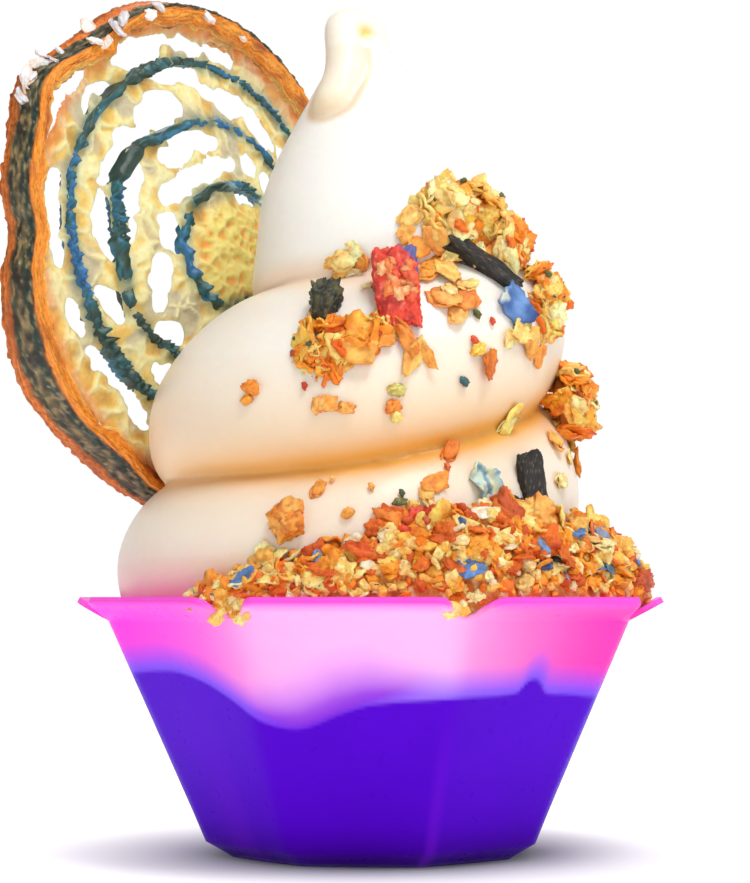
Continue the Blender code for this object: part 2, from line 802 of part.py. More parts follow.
def coil_band(home):
    """The blue layer of the roll, a raised rib that winds outwards to the crust."""
    steps = round((COIL_LAST - COIL_FIRST) * COIL_STEPS)
    keys = []
    for step in range(steps + 1):
        turns = COIL_FIRST + (COIL_LAST - COIL_FIRST) * step / steps
        point = crisp_point(coil_radius(turns), -TURN * turns, 0.35 * MM)
        uneven = 1 + 0.3 * noise.noise(Vector((turns * 7, 0, 3)))
        keys.append((*point, COIL_RADIUS * uneven))
    return tube("coil", keys, home, sides=1)


def sponge_heart(home, rng):
    """The thick golden crumb in the middle of the coil."""
    bm = bmesh.new()
    bmesh.ops.create_icosphere(bm, subdivisions=2, radius=1)
    for vert in bm.verts:
        vert.co *= 1 + rng.uniform(-0.06, 0.06)
    size = (HEART_RADIUS, HEART_RADIUS, HEART_HALF_THICK)
    bmesh.ops.scale(bm, vec=size, verts=bm.verts)
    bmesh.ops.translate(bm, vec=crisp_point(0, 0), verts=bm.verts)
    return to_object("heart", bm, home)


def make_crisp(home, tools, finish, rng):
    crisp = lace_plate(home, LACE_THICK)
    crisp.name = "pastry_crisp"
    crisp.data.materials.append(finish)
    join_by(crisp, lace_holes(tools, rng), "DIFFERENCE")
    join_by(crisp, [coil_band(tools), crust_band(tools), sponge_heart(tools, rng)], "UNION")
    tidy_solid(crisp, CRISP_KEPT)
    crisp.data.transform(crisp_matrix())


def crisp_slot(tools):
    """What the crisp takes out of the swirl that it is pushed into."""
    slot = lace_plate(tools, 2 * COIL_RADIUS + 3 * GAP)
    join_by(slot, [crust_band(tools, SLOT_GAP)], "UNION")
    slot.data.transform(crisp_matrix())
    return slot


def on_swirl(turns, share, upright=0.0):
    """A place on the swirl and the direction that faces out of it."""
    along = rope_point(turns + 0.004, share) - rope_point(turns - 0.004, share)
    up = rope_point(turns, share + 0.02) - rope_point(turns, share - 0.02)
    out = along.cross(up).normalized()
    level = Vector((out.x, out.y, 0)).normalized()
    return rope_point(turns, share), out.lerp(level, upright).normalized()


def laid(place, out, spin):
    """A matrix that lays a piece at a place, facing out and spun about that direction."""
    across = Vector((0, 0, 1)).cross(out).normalized()
    turned = Matrix((across, out.cross(across), out)).transposed().to_4x4()
    return Matrix.Translation(place) @ turned @ Matrix.Rotation(spin, 4, "Z")


def rough_lump(size, matrix, rng, rough, detail):
    """A broken lump with flat facets, of a size in metres."""
    bm = bmesh.new()
    bmesh.ops.create_icosphere(bm, subdivisions=detail, radius=0.5)
    for vert in bm.verts:
        vert.co *= 1.05 + rng.uniform(-rough, rough)
    bmesh.ops.scale(bm, vec=size, verts=bm.verts)
    bmesh.ops.transform(bm, matrix=matrix, verts=bm.verts)
    return bm


def rough_slab(size, matrix, rng, cuts):
    """A broken slab with blunt corners, of a size in metres."""
    bm = bmesh.new()
    bmesh.ops.create_cube(bm, size=1)
    bmesh.ops.subdivide_edges(bm, edges=bm.edges, cuts=cuts, use_grid_fill=True)
    for vert in bm.verts:
        blunt = 1 - 0.1 * max(0.0, vert.co.length - 0.62) / 0.24
        vert.co *= blunt + rng.uniform(-0.05, 0.05)
    bmesh.ops.triangulate(bm, faces=bm.faces)
    bmesh.ops.scale(bm, vec=size, verts=bm.verts)
    bmesh.ops.transform(bm, matrix=matrix, verts=bm.verts)
    return bm


def random_flake(home, place, out, length, rng):
    """A thin broken flake that faces roughly out."""
    size = (length, length * rng.uniform(0.45, 0.8), length * rng.uniform(0.14, 0.28))
    tilt = Vector((rng.uniform(-1, 1), rng.uniform(-1, 1), rng.uniform(-1, 1)))
    out = (out + 0.55 * tilt).normalized()
    matrix = laid(place, out, rng.uniform(0, TURN))
    return to_object("flake", rough_lump(size, matrix, rng, 0.18, 1), home)


def make_piece(home, row, finish, rng):
    name, turns, share, size, spin, upright, lift = row
    place, out = on_swirl(turns, share, upright)
    place = place + out * (size[2] / 2 + lift) * MM
    matrix = laid(place, out, math.radians(spin))
    size = [value * MM for value in size]
    if name in LUMP_PIECES:
        bm = rough_lump(size, matrix, rng, 0.16, 2)
    else:
        bm = rough_slab(size, matrix, rng, 1)
    return to_object(name, bm, home, finish, 30)


def make_cluster(home, tools, name, lumps, finish, rng):
    """A pile of broken pastry: rough lumps with flakes standing off them."""
    parts = []
    for middle, half in lumps:
        middle = Vector(middle) * MM
        half = Vector(half) * MM
        matrix = Matrix.Translation(middle)
        lump = rough_lump(1.7 * half, matrix, rng, 0.14, 2)
        parts.append(to_object(name, lump, home if not parts else tools))
        away = Vector((middle.x, middle.y, 0)).normalized()
        for _ in range(round(CLUSTER_FLAKES * half.z / (6 * MM))):
            aim = Vector((rng.gauss(0, 1), rng.gauss(0, 1), rng.gauss(0, 1))).normalized()
            aim = (aim + 0.7 * away).normalized()
            place = middle + Vector((a * h for a, h in zip(aim, half))) * 0.84
            parts.append(random_flake(tools, place, aim, rng.uniform(*CLUSTER_FLAKE_LENGTHS), rng))
    cluster = parts[0]
    cluster.data.materials.append(finish)
    join_by(cluster, parts[1:], "UNION")
    tidy_solid(cluster, CLUSTER_KEPT)
    return cluster


def heap_point(direction, share):
    """A point on the heap's core from the swirl (0) over the crest down to the rim (1)."""
    crest = follow(HEAP_CREST, math.degrees(direction))[0] * MM
    apothem, rise = follow(HEAP_SECTION, share)
    radius = eight_sided(apothem * MM - HEAP_CORE_INSET, direction)
    return polar(radius, direction, HEAP_FOOT_Z + rise * crest - HEAP_CORE_INSET)


def make_heap(home, tools, finish, room, rng):
    first, last = math.radians(HEAP_CREST[0][0]), math.radians(HEAP_CREST[-1][0])
    above = len(HEAP_SECTION)
    count = above + len(HEAP_UNDERSIDE)

    def place(along, across):
        direction = first + (last - first) * along
        around = round(across * count) % count
        if around < above:
            return heap_point(direction, around / (above - 1))
        radius = eight_sided(HEAP_UNDERSIDE[around - above], direction)
        return polar(radius, direction, HEAP_UNDERSIDE_Z)

    band = wrapped(HEAP_STEPS, count, place, open_ends=True)
    core = to_object("crumb_heap", band, home, finish, 30)
    chunks = []
    for number in range(HEAP_CHUNKS):
        share = (number + rng.uniform(0.2, 0.8)) / HEAP_CHUNKS
        direction = first + (last - first) * (0.03 + 0.94 * share)
        across = (number * 0.382 + rng.uniform(-0.1, 0.1)) % 1.0
        spot = heap_point(direction, 0.08 + 0.9 * across)
        out = Vector((math.cos(direction), math.sin(direction), 1.1))
        length = rng.uniform(*HEAP_CHUNK_LENGTHS)
        tilt = Vector((rng.uniform(-1, 1), rng.uniform(-1, 1), rng.uniform(-1, 1)))
        matrix = laid(spot + out * 0.3 * MM, (out + tilt).normalized(), rng.uniform(0, TURN))
        size = (length, length * rng.uniform(0.55, 0.85), length * rng.uniform(0.3, 0.6))
        chunks.append(to_object("chunk", rough_lump(size, matrix, rng, 0.18, 1), tools))
    join_by(core, chunks, "UNION")
    tidy_solid(core, HEAP_KEPT)
    join_by(core, [room], "INTERSECT")
    return core


def kept_clear(yogurt, pieces, tools):
    """Cutters a little larger than the yogurt and the pieces that already lie on it."""
    return [swollen(yogurt, GAP, tools)] + [swollen(piece, PIECE_GAP, tools) for piece in pieces]


def main():
    empty_scene()
    rng = random.Random(20)
    home = collection(OBJECT_COLLECTION)
    tools = collection(TOOL_COLLECTION)
    pink_plastic = material("pink_plastic", (1.0, 0.25, 0.68), 0.35, 0.6)
    berry = material("berry_puree", (0.12, 0.02, 0.55), 0.4)
    cream = material("yogurt_cream", (0.95, 0.89, 0.80), 0.45)
    crisp_gold = material("crisp_pastry", (0.86, 0.55, 0.20), 0.6)
    flaky = material("flaky_pastry", (0.88, 0.48, 0.14), 0.65)
    crushed = material("crushed_pastry", (0.90, 0.52, 0.18), 0.65)
    own_finish = {
        "red_fruit_piece": material("dried_red_fruit", (0.86, 0.09, 0.06), 0.6),
        "dark_crumb": material("dark_crust", (0.07, 0.07, 0.04), 0.55),
        "dark_strip": material("dark_crust_strip", (0.03, 0.025, 0.02), 0.5),
        "blue_petal": material("blue_petal", (0.08, 0.19, 0.5), 0.5),
        "black_sheet": material("black_crust", (0.02, 0.012, 0.01), 0.5),
        "pale_petal": material("pale_blue_petal", (0.55, 0.68, 0.62), 0.4),
        "pastry_nugget": material("orange_pastry", (0.94, 0.42, 0.08), 0.65),
    }

    make_cup(home, pink_plastic)
    make_berry_layer(home, berry)
    yogurt = make_yogurt(home, tools, cream)
    join_by(yogurt, [make_room(tools)], "INTERSECT")
    make_crisp(home, tools, crisp_gold, rng)
    join_by(yogurt, [crisp_slot(tools)], "DIFFERENCE")
    bits = []
    for turns, share, length in BITS:
        place, out = on_swirl(turns, share)
        bits.append(random_flake(tools, place + out * 0.4 * MM, out, length * MM, rng))
    join_by(yogurt, bits, "UNION")
    tidy_solid(yogurt)

    pieces = []
    for row in PIECES:
        piece = make_piece(home, row, own_finish[row[0]], rng)
        join_by(piece, kept_clear(yogurt, [], tools), "DIFFERENCE")
        tidy_solid(piece)
        pieces.append(piece)
    for name, lumps in CLUSTERS.items():
        cluster = make_cluster(home, tools, name, lumps, flaky, rng)
        join_by(cluster, kept_clear(yogurt, pieces, tools), "DIFFERENCE")
        tidy_solid(cluster)
        pieces.append(cluster)
    heap = make_heap(home, tools, crushed, make_room(tools), rng)
    join_by(heap, kept_clear(yogurt, pieces, tools), "DIFFERENCE")
    tidy_solid(heap)


main()
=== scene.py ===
"""A frozen yogurt cup, dressed for its photograph: a soft swirl in a translucent pink cup,
a lacy round crisp, and crushed flaky pastry with dried fruit and petals.

Metres, +Z up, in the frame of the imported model."""

import math
import random
from functools import cache
from math import atan2, cos, exp, hypot, radians, sin

import bmesh
import bpy
import numpy as np
from bmesh import ops
from mathutils import Matrix, Vector, kdtree
from mathutils.noise import noise, noise_vector, voronoi


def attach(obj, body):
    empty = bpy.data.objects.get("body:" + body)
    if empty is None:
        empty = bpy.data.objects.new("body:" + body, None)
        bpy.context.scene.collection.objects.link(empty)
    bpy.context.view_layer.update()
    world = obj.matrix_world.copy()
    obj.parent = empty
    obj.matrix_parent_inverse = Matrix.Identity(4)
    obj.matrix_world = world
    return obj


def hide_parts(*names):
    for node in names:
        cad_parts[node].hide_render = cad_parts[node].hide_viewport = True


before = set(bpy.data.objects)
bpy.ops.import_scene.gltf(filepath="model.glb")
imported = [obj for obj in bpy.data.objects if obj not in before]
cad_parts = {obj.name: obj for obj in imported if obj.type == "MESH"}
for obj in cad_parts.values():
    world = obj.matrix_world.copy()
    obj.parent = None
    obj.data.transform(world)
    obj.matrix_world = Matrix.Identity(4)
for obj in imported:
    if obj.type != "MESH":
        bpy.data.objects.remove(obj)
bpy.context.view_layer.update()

# The studio: a pale sweep of floor under an even white light, with soft lamps above it, at
# the right front and behind. The camera is a long lens that looks up a little.
MM = 0.001
TURN = 2 * math.pi


@cache
def seen(code):
    """A screen colour, given as a six-digit code, in the linear values of a shader."""
    parts = [(code >> shift & 255) / 255 for shift in (16, 8, 0)]
    return np.array([v / 12.92 if v < 0.04 else ((v + 0.055) / 1.055) ** 2.4 for v in parts])


def soft_lamp(name, place, aim, width, watts):
    lamp = bpy.data.lights.new(name, "AREA")
    lamp.shape = "DISK"
    lamp.size = width
    lamp.energy = watts
    stand = bpy.data.objects.new(name, lamp)
    bpy.context.scene.collection.objects.link(stand)
    stand.location = place
    stand.rotation_euler = (Vector(aim) - Vector(place)).to_track_quat("-Z", "Y").to_euler()


def wire(tree, made, *ordered, **named):
    """Sets a node's sockets to values, or links them to other nodes."""
    for socket, value in [*enumerate(ordered), *named.items()]:
        target = made.inputs[socket.replace("_", " ") if isinstance(socket, str) else socket]
        if isinstance(value, bpy.types.Node):
            value = value.outputs[0]
        if isinstance(value, bpy.types.NodeSocket):
            tree.links.new(value, target)
        else:
            target.default_value = value
    return made


def node(tree, kind, *ordered, operation=None, **named):
    made = tree.nodes.new("ShaderNode" + kind)
    if operation:
        made.operation = operation
    return wire(tree, made, *ordered, **named)


soft_lamp("top_lamp", (0.16, -0.22, 0.60), (0, 0, 0.07), 0.24, 2.5)
soft_lamp("front_lamp", (0.25, -0.70, 0.25), (0, 0, 0.05), 0.30, 0.5)
soft_lamp("back_lamp", (-0.10, 0.60, 0.55), (0, 0, 0.08), 0.40, 0.8)

world = bpy.data.worlds.new("white_room")
world.use_nodes = True
room = world.node_tree
way = node(room, "SeparateXYZ", node(room, "TexCoord").outputs["Generated"])
dimming = node(room, "MapRange", way.outputs["Z"], 0.28, 0.60, 1.0, 0.30)
backdrop = node(room, "MapRange", way.outputs["Y"], 0.80, 0.94, 0.66, 1.02)
strength = node(room, "Math", dimming, backdrop, operation="MULTIPLY")
wire(room, room.nodes["Background"], Strength=strength, Color=(1, 1, 1, 1))
bpy.context.scene.world = world
bpy.context.scene.view_settings.view_transform = "Standard"

floor_bm = bmesh.new()
ops.create_grid(floor_bm, x_segments=4, y_segments=4, size=3.0)
floor_mesh = bpy.data.meshes.new("pale_floor")
floor_bm.to_mesh(floor_mesh)
floor_bm.free()
pale_floor = bpy.data.objects.new("pale_floor", floor_mesh)
bpy.context.scene.collection.objects.link(pale_floor)
floor_paint = bpy.data.materials.new("pale_floor")
floor_paint.use_nodes = True
tree = floor_paint.node_tree
# The floor glows white: not at all within 22 mm of the cup's axis, and fully from 60 mm out.
from_cup = node(tree, "VectorMath", node(tree, "TexCoord").outputs["Object"], operation="LENGTH")
wire(
    tree, tree.nodes["Principled BSDF"],
    Base_Color=(0.4, 0.4, 0.4, 1), Roughness=0.9, Specular_IOR_Level=0.0,
    Emission_Color=(1, 1, 1, 1),
    Emission_Strength=node(tree, "MapRange", from_cup.outputs["Value"], 0.022, 0.060, 0.0, 1.0),
)
floor_mesh.materials.append(floor_paint)

lens = bpy.data.cameras.new("long_lens")
lens.sensor_fit = "VERTICAL"
lens.sensor_height = 24
FOCAL_PIXELS, PHOTO_PIXELS = 2391, 883
lens.lens = lens.sensor_height * FOCAL_PIXELS / PHOTO_PIXELS
camera = bpy.data.objects.new("camera", lens)
camera.location = (0, -0.4, 0.042)
camera.rotation_euler = (radians(93.75), 0, 0)
bpy.context.scene.collection.objects.link(camera)
bpy.context.scene.camera = camera


# The cup: one thin shell of translucent pink plastic, injection moulded with eight flat
# sides, a flared lip and a small V notch in the lip at each corner. Its colour deepens to
# violet where the berry layer lies behind it.
CUP_FRONT = radians(264.7)
CUP_WALL = 0.9 * MM
WALL_LEVELS = (
    # height, apothem in mm
    (0, 21.6), (0.05, 22.7), (0.6, 23.5), (2.6, 26.8), (8, 29.05), (16, 32.45), (24, 35.85),
    (32, 39.28), (38.4, 42),
)
LIP_OUT, LIP_UP = 47.5 * MM, 41.4 * MM
BERRY_MIDDLE = 26.5
BERRY_KEYS = (
    # direction in degrees, height of the berry layer at the wall in mm
    (180, 28.8), (202, 30), (215, 30.3), (225.6, 28.9), (234.6, 26.3), (242.2, 23.3), (247, 22.2),
    (251.5, 22), (256, 22.8), (262, 24.4), (270, 25.8), (288, 26.7), (302, 27), (306, 27.4),
    (308, 28.8), (310.5, 29.4), (312.8, 28.6), (315, 27.2), (322, 26.8), (332, 26.2), (350, 25.6),
    (395, 28.4), (450, 26), (490, 24.6), (540, 28.8),
)


def follow(keys, place):
    """Every column of the keyed rows at a place, on a smooth curve through the rows."""
    last = len(keys) - 1
    if place <= keys[0][0]:
        return keys[0][1:]
    if place >= keys[last][0]:
        return keys[last][1:]
    at = max(i for i in range(last) if keys[i][0] <= place)
    rows = [keys[max(0, min(last, at + step))] for step in (-1, 0, 1, 2)]
    span = rows[2][0] - rows[1][0]
    t = (place - rows[1][0]) / span
    found = []
    for before, low, high, after in list(zip(*rows))[1:]:
        slope_low = (high - before) / (rows[2][0] - rows[0][0]) * span
        slope_high = (after - low) / (rows[3][0] - rows[1][0]) * span
        found.append(
            low * (2 * t**3 - 3 * t**2 + 1)
            + slope_low * (t**3 - 2 * t**2 + t)
            + high * (3 * t**2 - 2 * t**3)
            + slope_high * (t**3 - t**2)
        )
    return found


def polar(radius, angle, z):
    return Vector((radius * cos(angle), radius * sin(angle), z))


def eight_sided(apothem, angle):
    """Distance from the axis to the cup's rounded eight-sided outline."""
    reach = sum(max(cos(angle - CUP_FRONT - side * TURN / 8), 0) ** 60 for side in range(8))
    return apothem / reach ** (1 / 60)


def lip_share(angle):
    """How much of the flared lip is left here: less at the notch in each corner."""
    off_corner = abs((angle - CUP_FRONT) % (TURN / 8) - TURN / 16)
    rise = min(1.0, off_corner / radians(6.2))
    return 0.1 + 0.9 * (rise - 0.12 * sin(TURN * rise))


def berry_height(angle, share=1.0):
    """Height in mm of the berry layer, at a share of the way out to the wall."""
    at_wall = follow(BERRY_KEYS, 180 + (math.degrees(angle) - 180) % 360)[0]
    return BERRY_MIDDLE + (at_wall - BERRY_MIDDLE) * share * share


def lofted(count, levels):
    """Rings of an outline carried upwards, from a floor disc to an open top edge."""
    angles = [TURN * step / count for step in range(count)]
    bm = bmesh.new()
    ring = ops.create_circle(bm, cap_ends=True, segments=count, radius=1)["verts"]
    for number, level in enumerate(levels):
        if number:
            edges = [edge for edge in bm.edges if edge.is_boundary] if number > 1 else bm.edges[:]
            made = ops.extrude_edge_only(bm, edges=edges)["geom"]
            above = [part for part in made if isinstance(part, bmesh.types.BMVert)]
            order = {tuple(vert.co): at for at, vert in enumerate(ring)}
            ring = sorted(above, key=lambda vert: order[tuple(vert.co)])
        for vert, angle in zip(ring, angles):
            vert.co = level(angle)
    return bm


def new_piece(name, bm, slot, *nodes):
    """The bmesh as a smooth piece of the object that rides on it and stands for the nodes."""
    mesh = bpy.data.meshes.new(name)
    bm.to_mesh(mesh)
    bm.free()
    mesh.shade_smooth()
    piece = bpy.data.objects.new(name, mesh)
    bpy.context.scene.collection.objects.link(piece)
    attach(piece, "root")
    if nodes:
        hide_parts(*nodes)
    return piece


def apply_modifiers(piece):
    """Replaces the piece's mesh by what its modifiers make of it."""
    bpy.context.view_layer.update()
    graph = bpy.context.evaluated_depsgraph_get()
    made = bpy.data.meshes.new_from_object(piece.evaluated_get(graph), depsgraph=graph)
    piece.modifiers.clear()
    piece.data = made
    made.name = piece.name


def tint(mesh, colours):
    """Stores a linear colour on each point of the mesh, for its material to read."""
    layer = mesh.attributes.get("tint") or mesh.attributes.new("tint", "FLOAT_COLOR", "POINT")
    rows = np.ones((len(mesh.vertices), 4), np.float32)
    rows[:, :3] = colours
    layer.data.foreach_set("color", rows.ravel())


def between(low, high, share):
    """A mix of two colours."""
    share = min(1.0, max(0.0, share))
    return low * (1 - share) + high * share


def coated(colour, *coats):
    """The colour with others laid over it in turn, each a code and the share that it takes."""
    for code, share in coats:
        colour = between(colour, seen(code), share)
    return colour


def painted(piece, paint, colour_of):
    """Gives the piece its material, and each point of it a colour found from its place."""
    tint(piece.data, [colour_of(vert.co) for vert in piece.data.vertices])
    piece.data.materials.append(paint)


def soft(weight, radius, depth_mm):
    """How far light spreads below the surface, for each of red, green and blue."""
    return {
        "Subsurface_Weight": weight,
        "Subsurface_Radius": radius,
        "Subsurface_Scale": depth_mm * MM,
    }


def food_finish(name, roughness, grain_mm, grain=0.12, bump_mm=0.05, glow=0.0, **fixed):
    """A material that reads the points' colours, mottles them and roughens the surface."""
    made = bpy.data.materials.new(name)
    made.use_nodes = True
    tree = made.node_tree
    where = node(tree, "TexCoord").outputs["Object"]
    paint = node(tree, "Attribute")
    paint.attribute_name = "tint"
    scale = 1 / (grain_mm * MM)
    mottle = node(tree, "TexNoise", Vector=where, Scale=scale, Detail=5, Roughness=0.65)
    fine = node(tree, "TexNoise", Vector=where, Scale=4.2 * scale, Detail=3)
    bright = node(tree, "MapRange", mottle, 0.3, 0.7, 1 - grain, 1 + grain)
    shade = node(tree, "VectorMath", paint, operation="SCALE", Scale=bright)
    rough = node(tree, "MapRange", fine, 0.3, 0.7, roughness - 0.08, roughness + 0.08)
    height = node(tree, "Math", mottle, fine, operation="ADD")
    bump = node(tree, "Bump", Strength=1.0, Distance=bump_mm * MM, Height=height)
    shader = tree.nodes["Principled BSDF"]
    wire(tree, shader, Base_Color=shade, Roughness=rough, Normal=bump, **fixed)
    # A glow makes the surface shine with its own colour: a painted glow.
    if glow:
        wire(tree, shader, Emission_Color=shade, Emission_Strength=glow)
    return made


def closed(bm):
    """Fills the open edges and turns the faces outwards."""
    rim = [edge for edge in bm.edges if edge.is_boundary]
    if rim:
        ops.holes_fill(bm, edges=rim, sides=0)
    ops.recalc_face_normals(bm, faces=bm.faces)
    return bm


def swept(point, along, around, join):
    """A closed surface from a point and a colour for each share of two ways across it."""
    bm = bmesh.new()
    ops.create_grid(bm, x_segments=along, y_segments=around, size=0.5)
    layer = bm.verts.layers.float_color.new("tint")
    for vert in bm.verts:
        vert.co, colour = point(vert.co.x + 0.5, vert.co.y + 0.5)
        vert[layer] = (*colour, 1)
    ops.remove_doubles(bm, verts=bm.verts, dist=join)
    return closed(bm)


def wall_apothem(z):
    """The outer face of the wall at a height, in metres."""
    return follow(WALL_LEVELS, z / MM)[0] * MM


def cup_level(apothem, z):
    return lambda angle: polar(eight_sided(apothem * MM, angle), angle, z * MM)


def lip_level(share):
    """The lip at a share of its flare, rolled over a little at its edge."""

    def level(angle):
        risen = share * lip_share(angle)
        top_z, top_apothem = (value * MM for value in WALL_LEVELS[-1])
        apothem = top_apothem + risen * (LIP_OUT - top_apothem)
        z = top_z + risen * (LIP_UP - top_z)
        return polar(eight_sided(apothem, angle), angle, z)

    return level


# Above this height in mm the colours change fast, so the wall has more levels there.
FINE_FROM = 17
cup_levels = [cup_level(apothem, z) for z, apothem in WALL_LEVELS[:3]]
for low, high in zip(WALL_LEVELS[2:], WALL_LEVELS[3:]):
    steps = 16 if high[0] > FINE_FROM else 4
    for step in range(1, steps + 1):
        share = step / steps
        z, apothem = (a + (b - a) * share for a, b in zip(low, high))
        cup_levels.append(cup_level(apothem, z))
cup_levels += [lip_level(share) for share in (0.25, 0.5, 0.75, 1.0)]
cup_bm = lofted(400, cup_levels)
ops.recalc_face_normals(cup_bm, faces=cup_bm.faces)
cup_bm.faces.ensure_lookup_table()
if min(cup_bm.faces, key=lambda face: face.calc_center_median().z).normal.z > 0:
    ops.reverse_faces(cup_bm, faces=cup_bm.faces)
cup = new_piece("pink_cup", cup_bm, "pink_plastic", "cup")
shell = cup.modifiers.new("wall", "SOLIDIFY")
shell.thickness = CUP_WALL
shell.offset = -1
shell.use_even_offset = True
apply_modifiers(cup)

CUP_PINKS = (
    # direction in degrees, how pale the pink is where light comes through that side, how
    # much violet hangs above the berry layer, and how bright the blue glow on its edge is
    (180, 0, 0, 0.3), (205, 0.08, 0, 0.3), (228, 0.25, 0, 0.35), (240, 0.55, 0.1, 0.3),
    (246, 0.85, 0.55, 0.2), (256, 0.96, 1, 0.05), (266, 1, 0.9, 0.25), (276, 1, 0.35, 0.7),
    (285, 0.95, 0, 0.8), (291, 0.6, 0, 0.5), (312, 0.22, 0, 0.4), (330, 0.05, 0, 0.3),
    (360, 0, 0, 0.3),
)


def cup_colour(place):
    degrees = math.degrees(atan2(place.y, place.x)) % 360
    pale, haze, bright = follow(CUP_PINKS, max(180.0, degrees))
    high = place.z / MM
    above = high - berry_height(radians(degrees))
    # Painted light: the pink is paler where light comes through that side, and a painted blue glow
    # runs along the top of the berry layer.
    violet = between(seen(0x420096), seen(0x5800D4), high / 7) * (1 + 0.06 * noise(place * 60))
    painted_blue_glow = between(seen(0x681CFA), seen(0xB084FF), bright)
    # Violet over the berry layer, paler higher up.
    violet_above = between(seen(0x8016E2), seen(0xDE82FA), above / 8)
    pink = between(seen(0xFF24E2), seen(0xFF24B8), cos(radians(degrees)) + 0.8)
    pink = coated(pink, (0xFFBEF2, pale), (0xFF5ADE, (high - 40.3) / 0.8))
    colour = between(violet, painted_blue_glow, (above + 0.1) / 0.7)
    colour = between(colour, violet_above, haze * (above + 0.2))
    return between(colour, pink, (above - 0.9 - 1.5 * haze) / (4.2 + 4.0 * haze))


# The plastic glows faintly with its own colour: a painted glow of light coming through it.
cup_plastic = food_finish(
    "pink_plastic", 0.34, 9.0, grain=0.03, bump_mm=0.01, glow=0.08,
    Alpha=0.86, Specular_IOR_Level=0.12, IOR=1.30,
)
painted(cup, cup_plastic, cup_colour)


# The berry layer: a smooth violet fruit puree poured in first, which fills the foot of the
# cup. It reaches just into the wall, so that no gap shows through the plastic.
WITHIN_FACE = 0.55 * MM


def filling_level(share, height_of):
    """A level of a filling, at a share of the way out and a height of the direction."""

    def level(angle):
        z = height_of(angle)
        apothem = wall_apothem(z) - WITHIN_FACE
        return polar(eight_sided(apothem, angle) * share, angle, z)

    return level


def on_berry(angle, share=1.0):
    return berry_height(angle, share) * MM


foot_levels = (0.5, 2.6, 6, 10, 14, 18)
berry_levels = [filling_level(1.0, lambda angle, z=z: z * MM) for z in foot_levels]
berry_levels += [
    filling_level(1.0, lambda angle: 18 * MM + 0.5 * (on_berry(angle) - 18 * MM)),
    filling_level(1.0, on_berry),
]
berry_levels += [
    filling_level(share, lambda angle, share=share: on_berry(angle, share))
    for share in (0.9, 0.75, 0.5, 0.25, 0.06)
]
berry_bm = closed(lofted(160, berry_levels))
berry = new_piece("berry_puree_layer", berry_bm, "berry_puree", "berry_layer")
puree = food_finish("berry_puree", 0.5, 3.0, grain=0.06, bump_mm=0.02, Specular_IOR_Level=0.05)
painted(berry, puree, lambda place: between(seen(0x420096), seen(0x5C00DE), place.z / MM / 15))


# The frozen yogurt: vanilla soft serve, piped in one thick rope that winds up to a folded
# tip. It is smooth and a little glossy and white on the shoulders, with painted warm shade in
# the creases.
ROPE_KEYS = (
    # turns from the left; the crease under the rope, height and radius in mm; then how far
    # its side stands out from the crease below and above, and the height of both shoulders
    (-1.5, 33, 37, 4, 8, 4, 4), (-0.5, 33, 37, 5, 9.6, 7, 5), (-0.25, 36.5, 34, 6, 10, 5, 5),
    (0, 45, 32, 8, 11, 5, 6), (0.25, 53, 31, 8, 11, 4.5, 6), (0.5, 60.5, 30.2, 7.6, 15, 3.8, 4.6),
    (0.75, 62.6, 30.6, 7, 14, 4, 6), (1, 75, 29.4, 6, 10.5, 4, 8),
    (1.25, 84, 26.5, 6.5, 7.5, 4, 10), (1.5, 91.8, 21.4, 9, 5.4, 5.5, 7),
    (1.75, 94.4, 21.2, 6.5, 5.6, 5.5, 7), (2, 104, 19.6, 2.6, 5.6, 4, 7),
    (2.25, 121, 13, -2.2, 5.2, 4, 6), (2.5, 140.8, 0, 0, 0, 0, 0),
)
AXIS_KEYS = (
    # height, sideways place of the swirl's axis in mm
    (33, 0), (42, -2.6), (50, -3.8), (62, -3.8), (76, -2.4), (90, 1.4), (99, 2.7), (108, 0.8),
    (118, -0.4), (132, -1.4), (141, -3.4),
)
TONGUE_KEYS = (
    # the folded tip, hanging down the left front: place and radius in mm
    (-0.2, 0, 136.8, 2.7), (-2.9, -0.2, 138.6, 3.2), (-5.5, -1.2, 138.2, 3),
    (-5.2, -3.9, 133.4, 3.2), (-5.1, -6.2, 129, 3.5), (-6.7, -8, 123.9, 3.6),
)
DIMPLE = Vector((-1.6, -3.2, 136.9)) * MM
FILL_TOP = 38.0


def rope_point(turns, share):
    """A point on the swirl: turns along the rope, and a share of the way up its side."""
    low_z, low_r, out_low, out_high, up_low, up_high = follow(ROPE_KEYS, turns)
    high_z, high_r = follow(ROPE_KEYS, min(turns + 1, ROPE_KEYS[-1][0]))[:2]
    full = max(0.0, min(1.0, (high_z - low_z) / 12))
    corners = (
        Vector((low_r, low_z)),
        Vector((low_r + out_low * full, low_z + up_low * full)),
        Vector((high_r + out_high * full, high_z - up_high * full)),
        Vector((high_r, high_z)),
    )
    rest = 1 - share
    weights = (rest**3, 3 * share * rest**2, 3 * share**2 * rest, share**3)
    radius, z = sum((w * c for w, c in zip(weights, corners)), Vector((0, 0)))
    point = polar(radius * MM, TURN * turns, z * MM)
    waver = noise(point * 45) + 0.5 * noise(point * 110)
    point += polar(1, TURN * turns, 0) * waver * 0.35 * MM * min(1, radius / 10)
    point.x += follow(AXIS_KEYS, z)[0] * MM
    return point


def swirl_point(along, up):
    first, last = ROPE_KEYS[0][0], ROPE_KEYS[-1][0]
    return rope_point(first + along * (last - first), up), seen(0xFFFFFF)


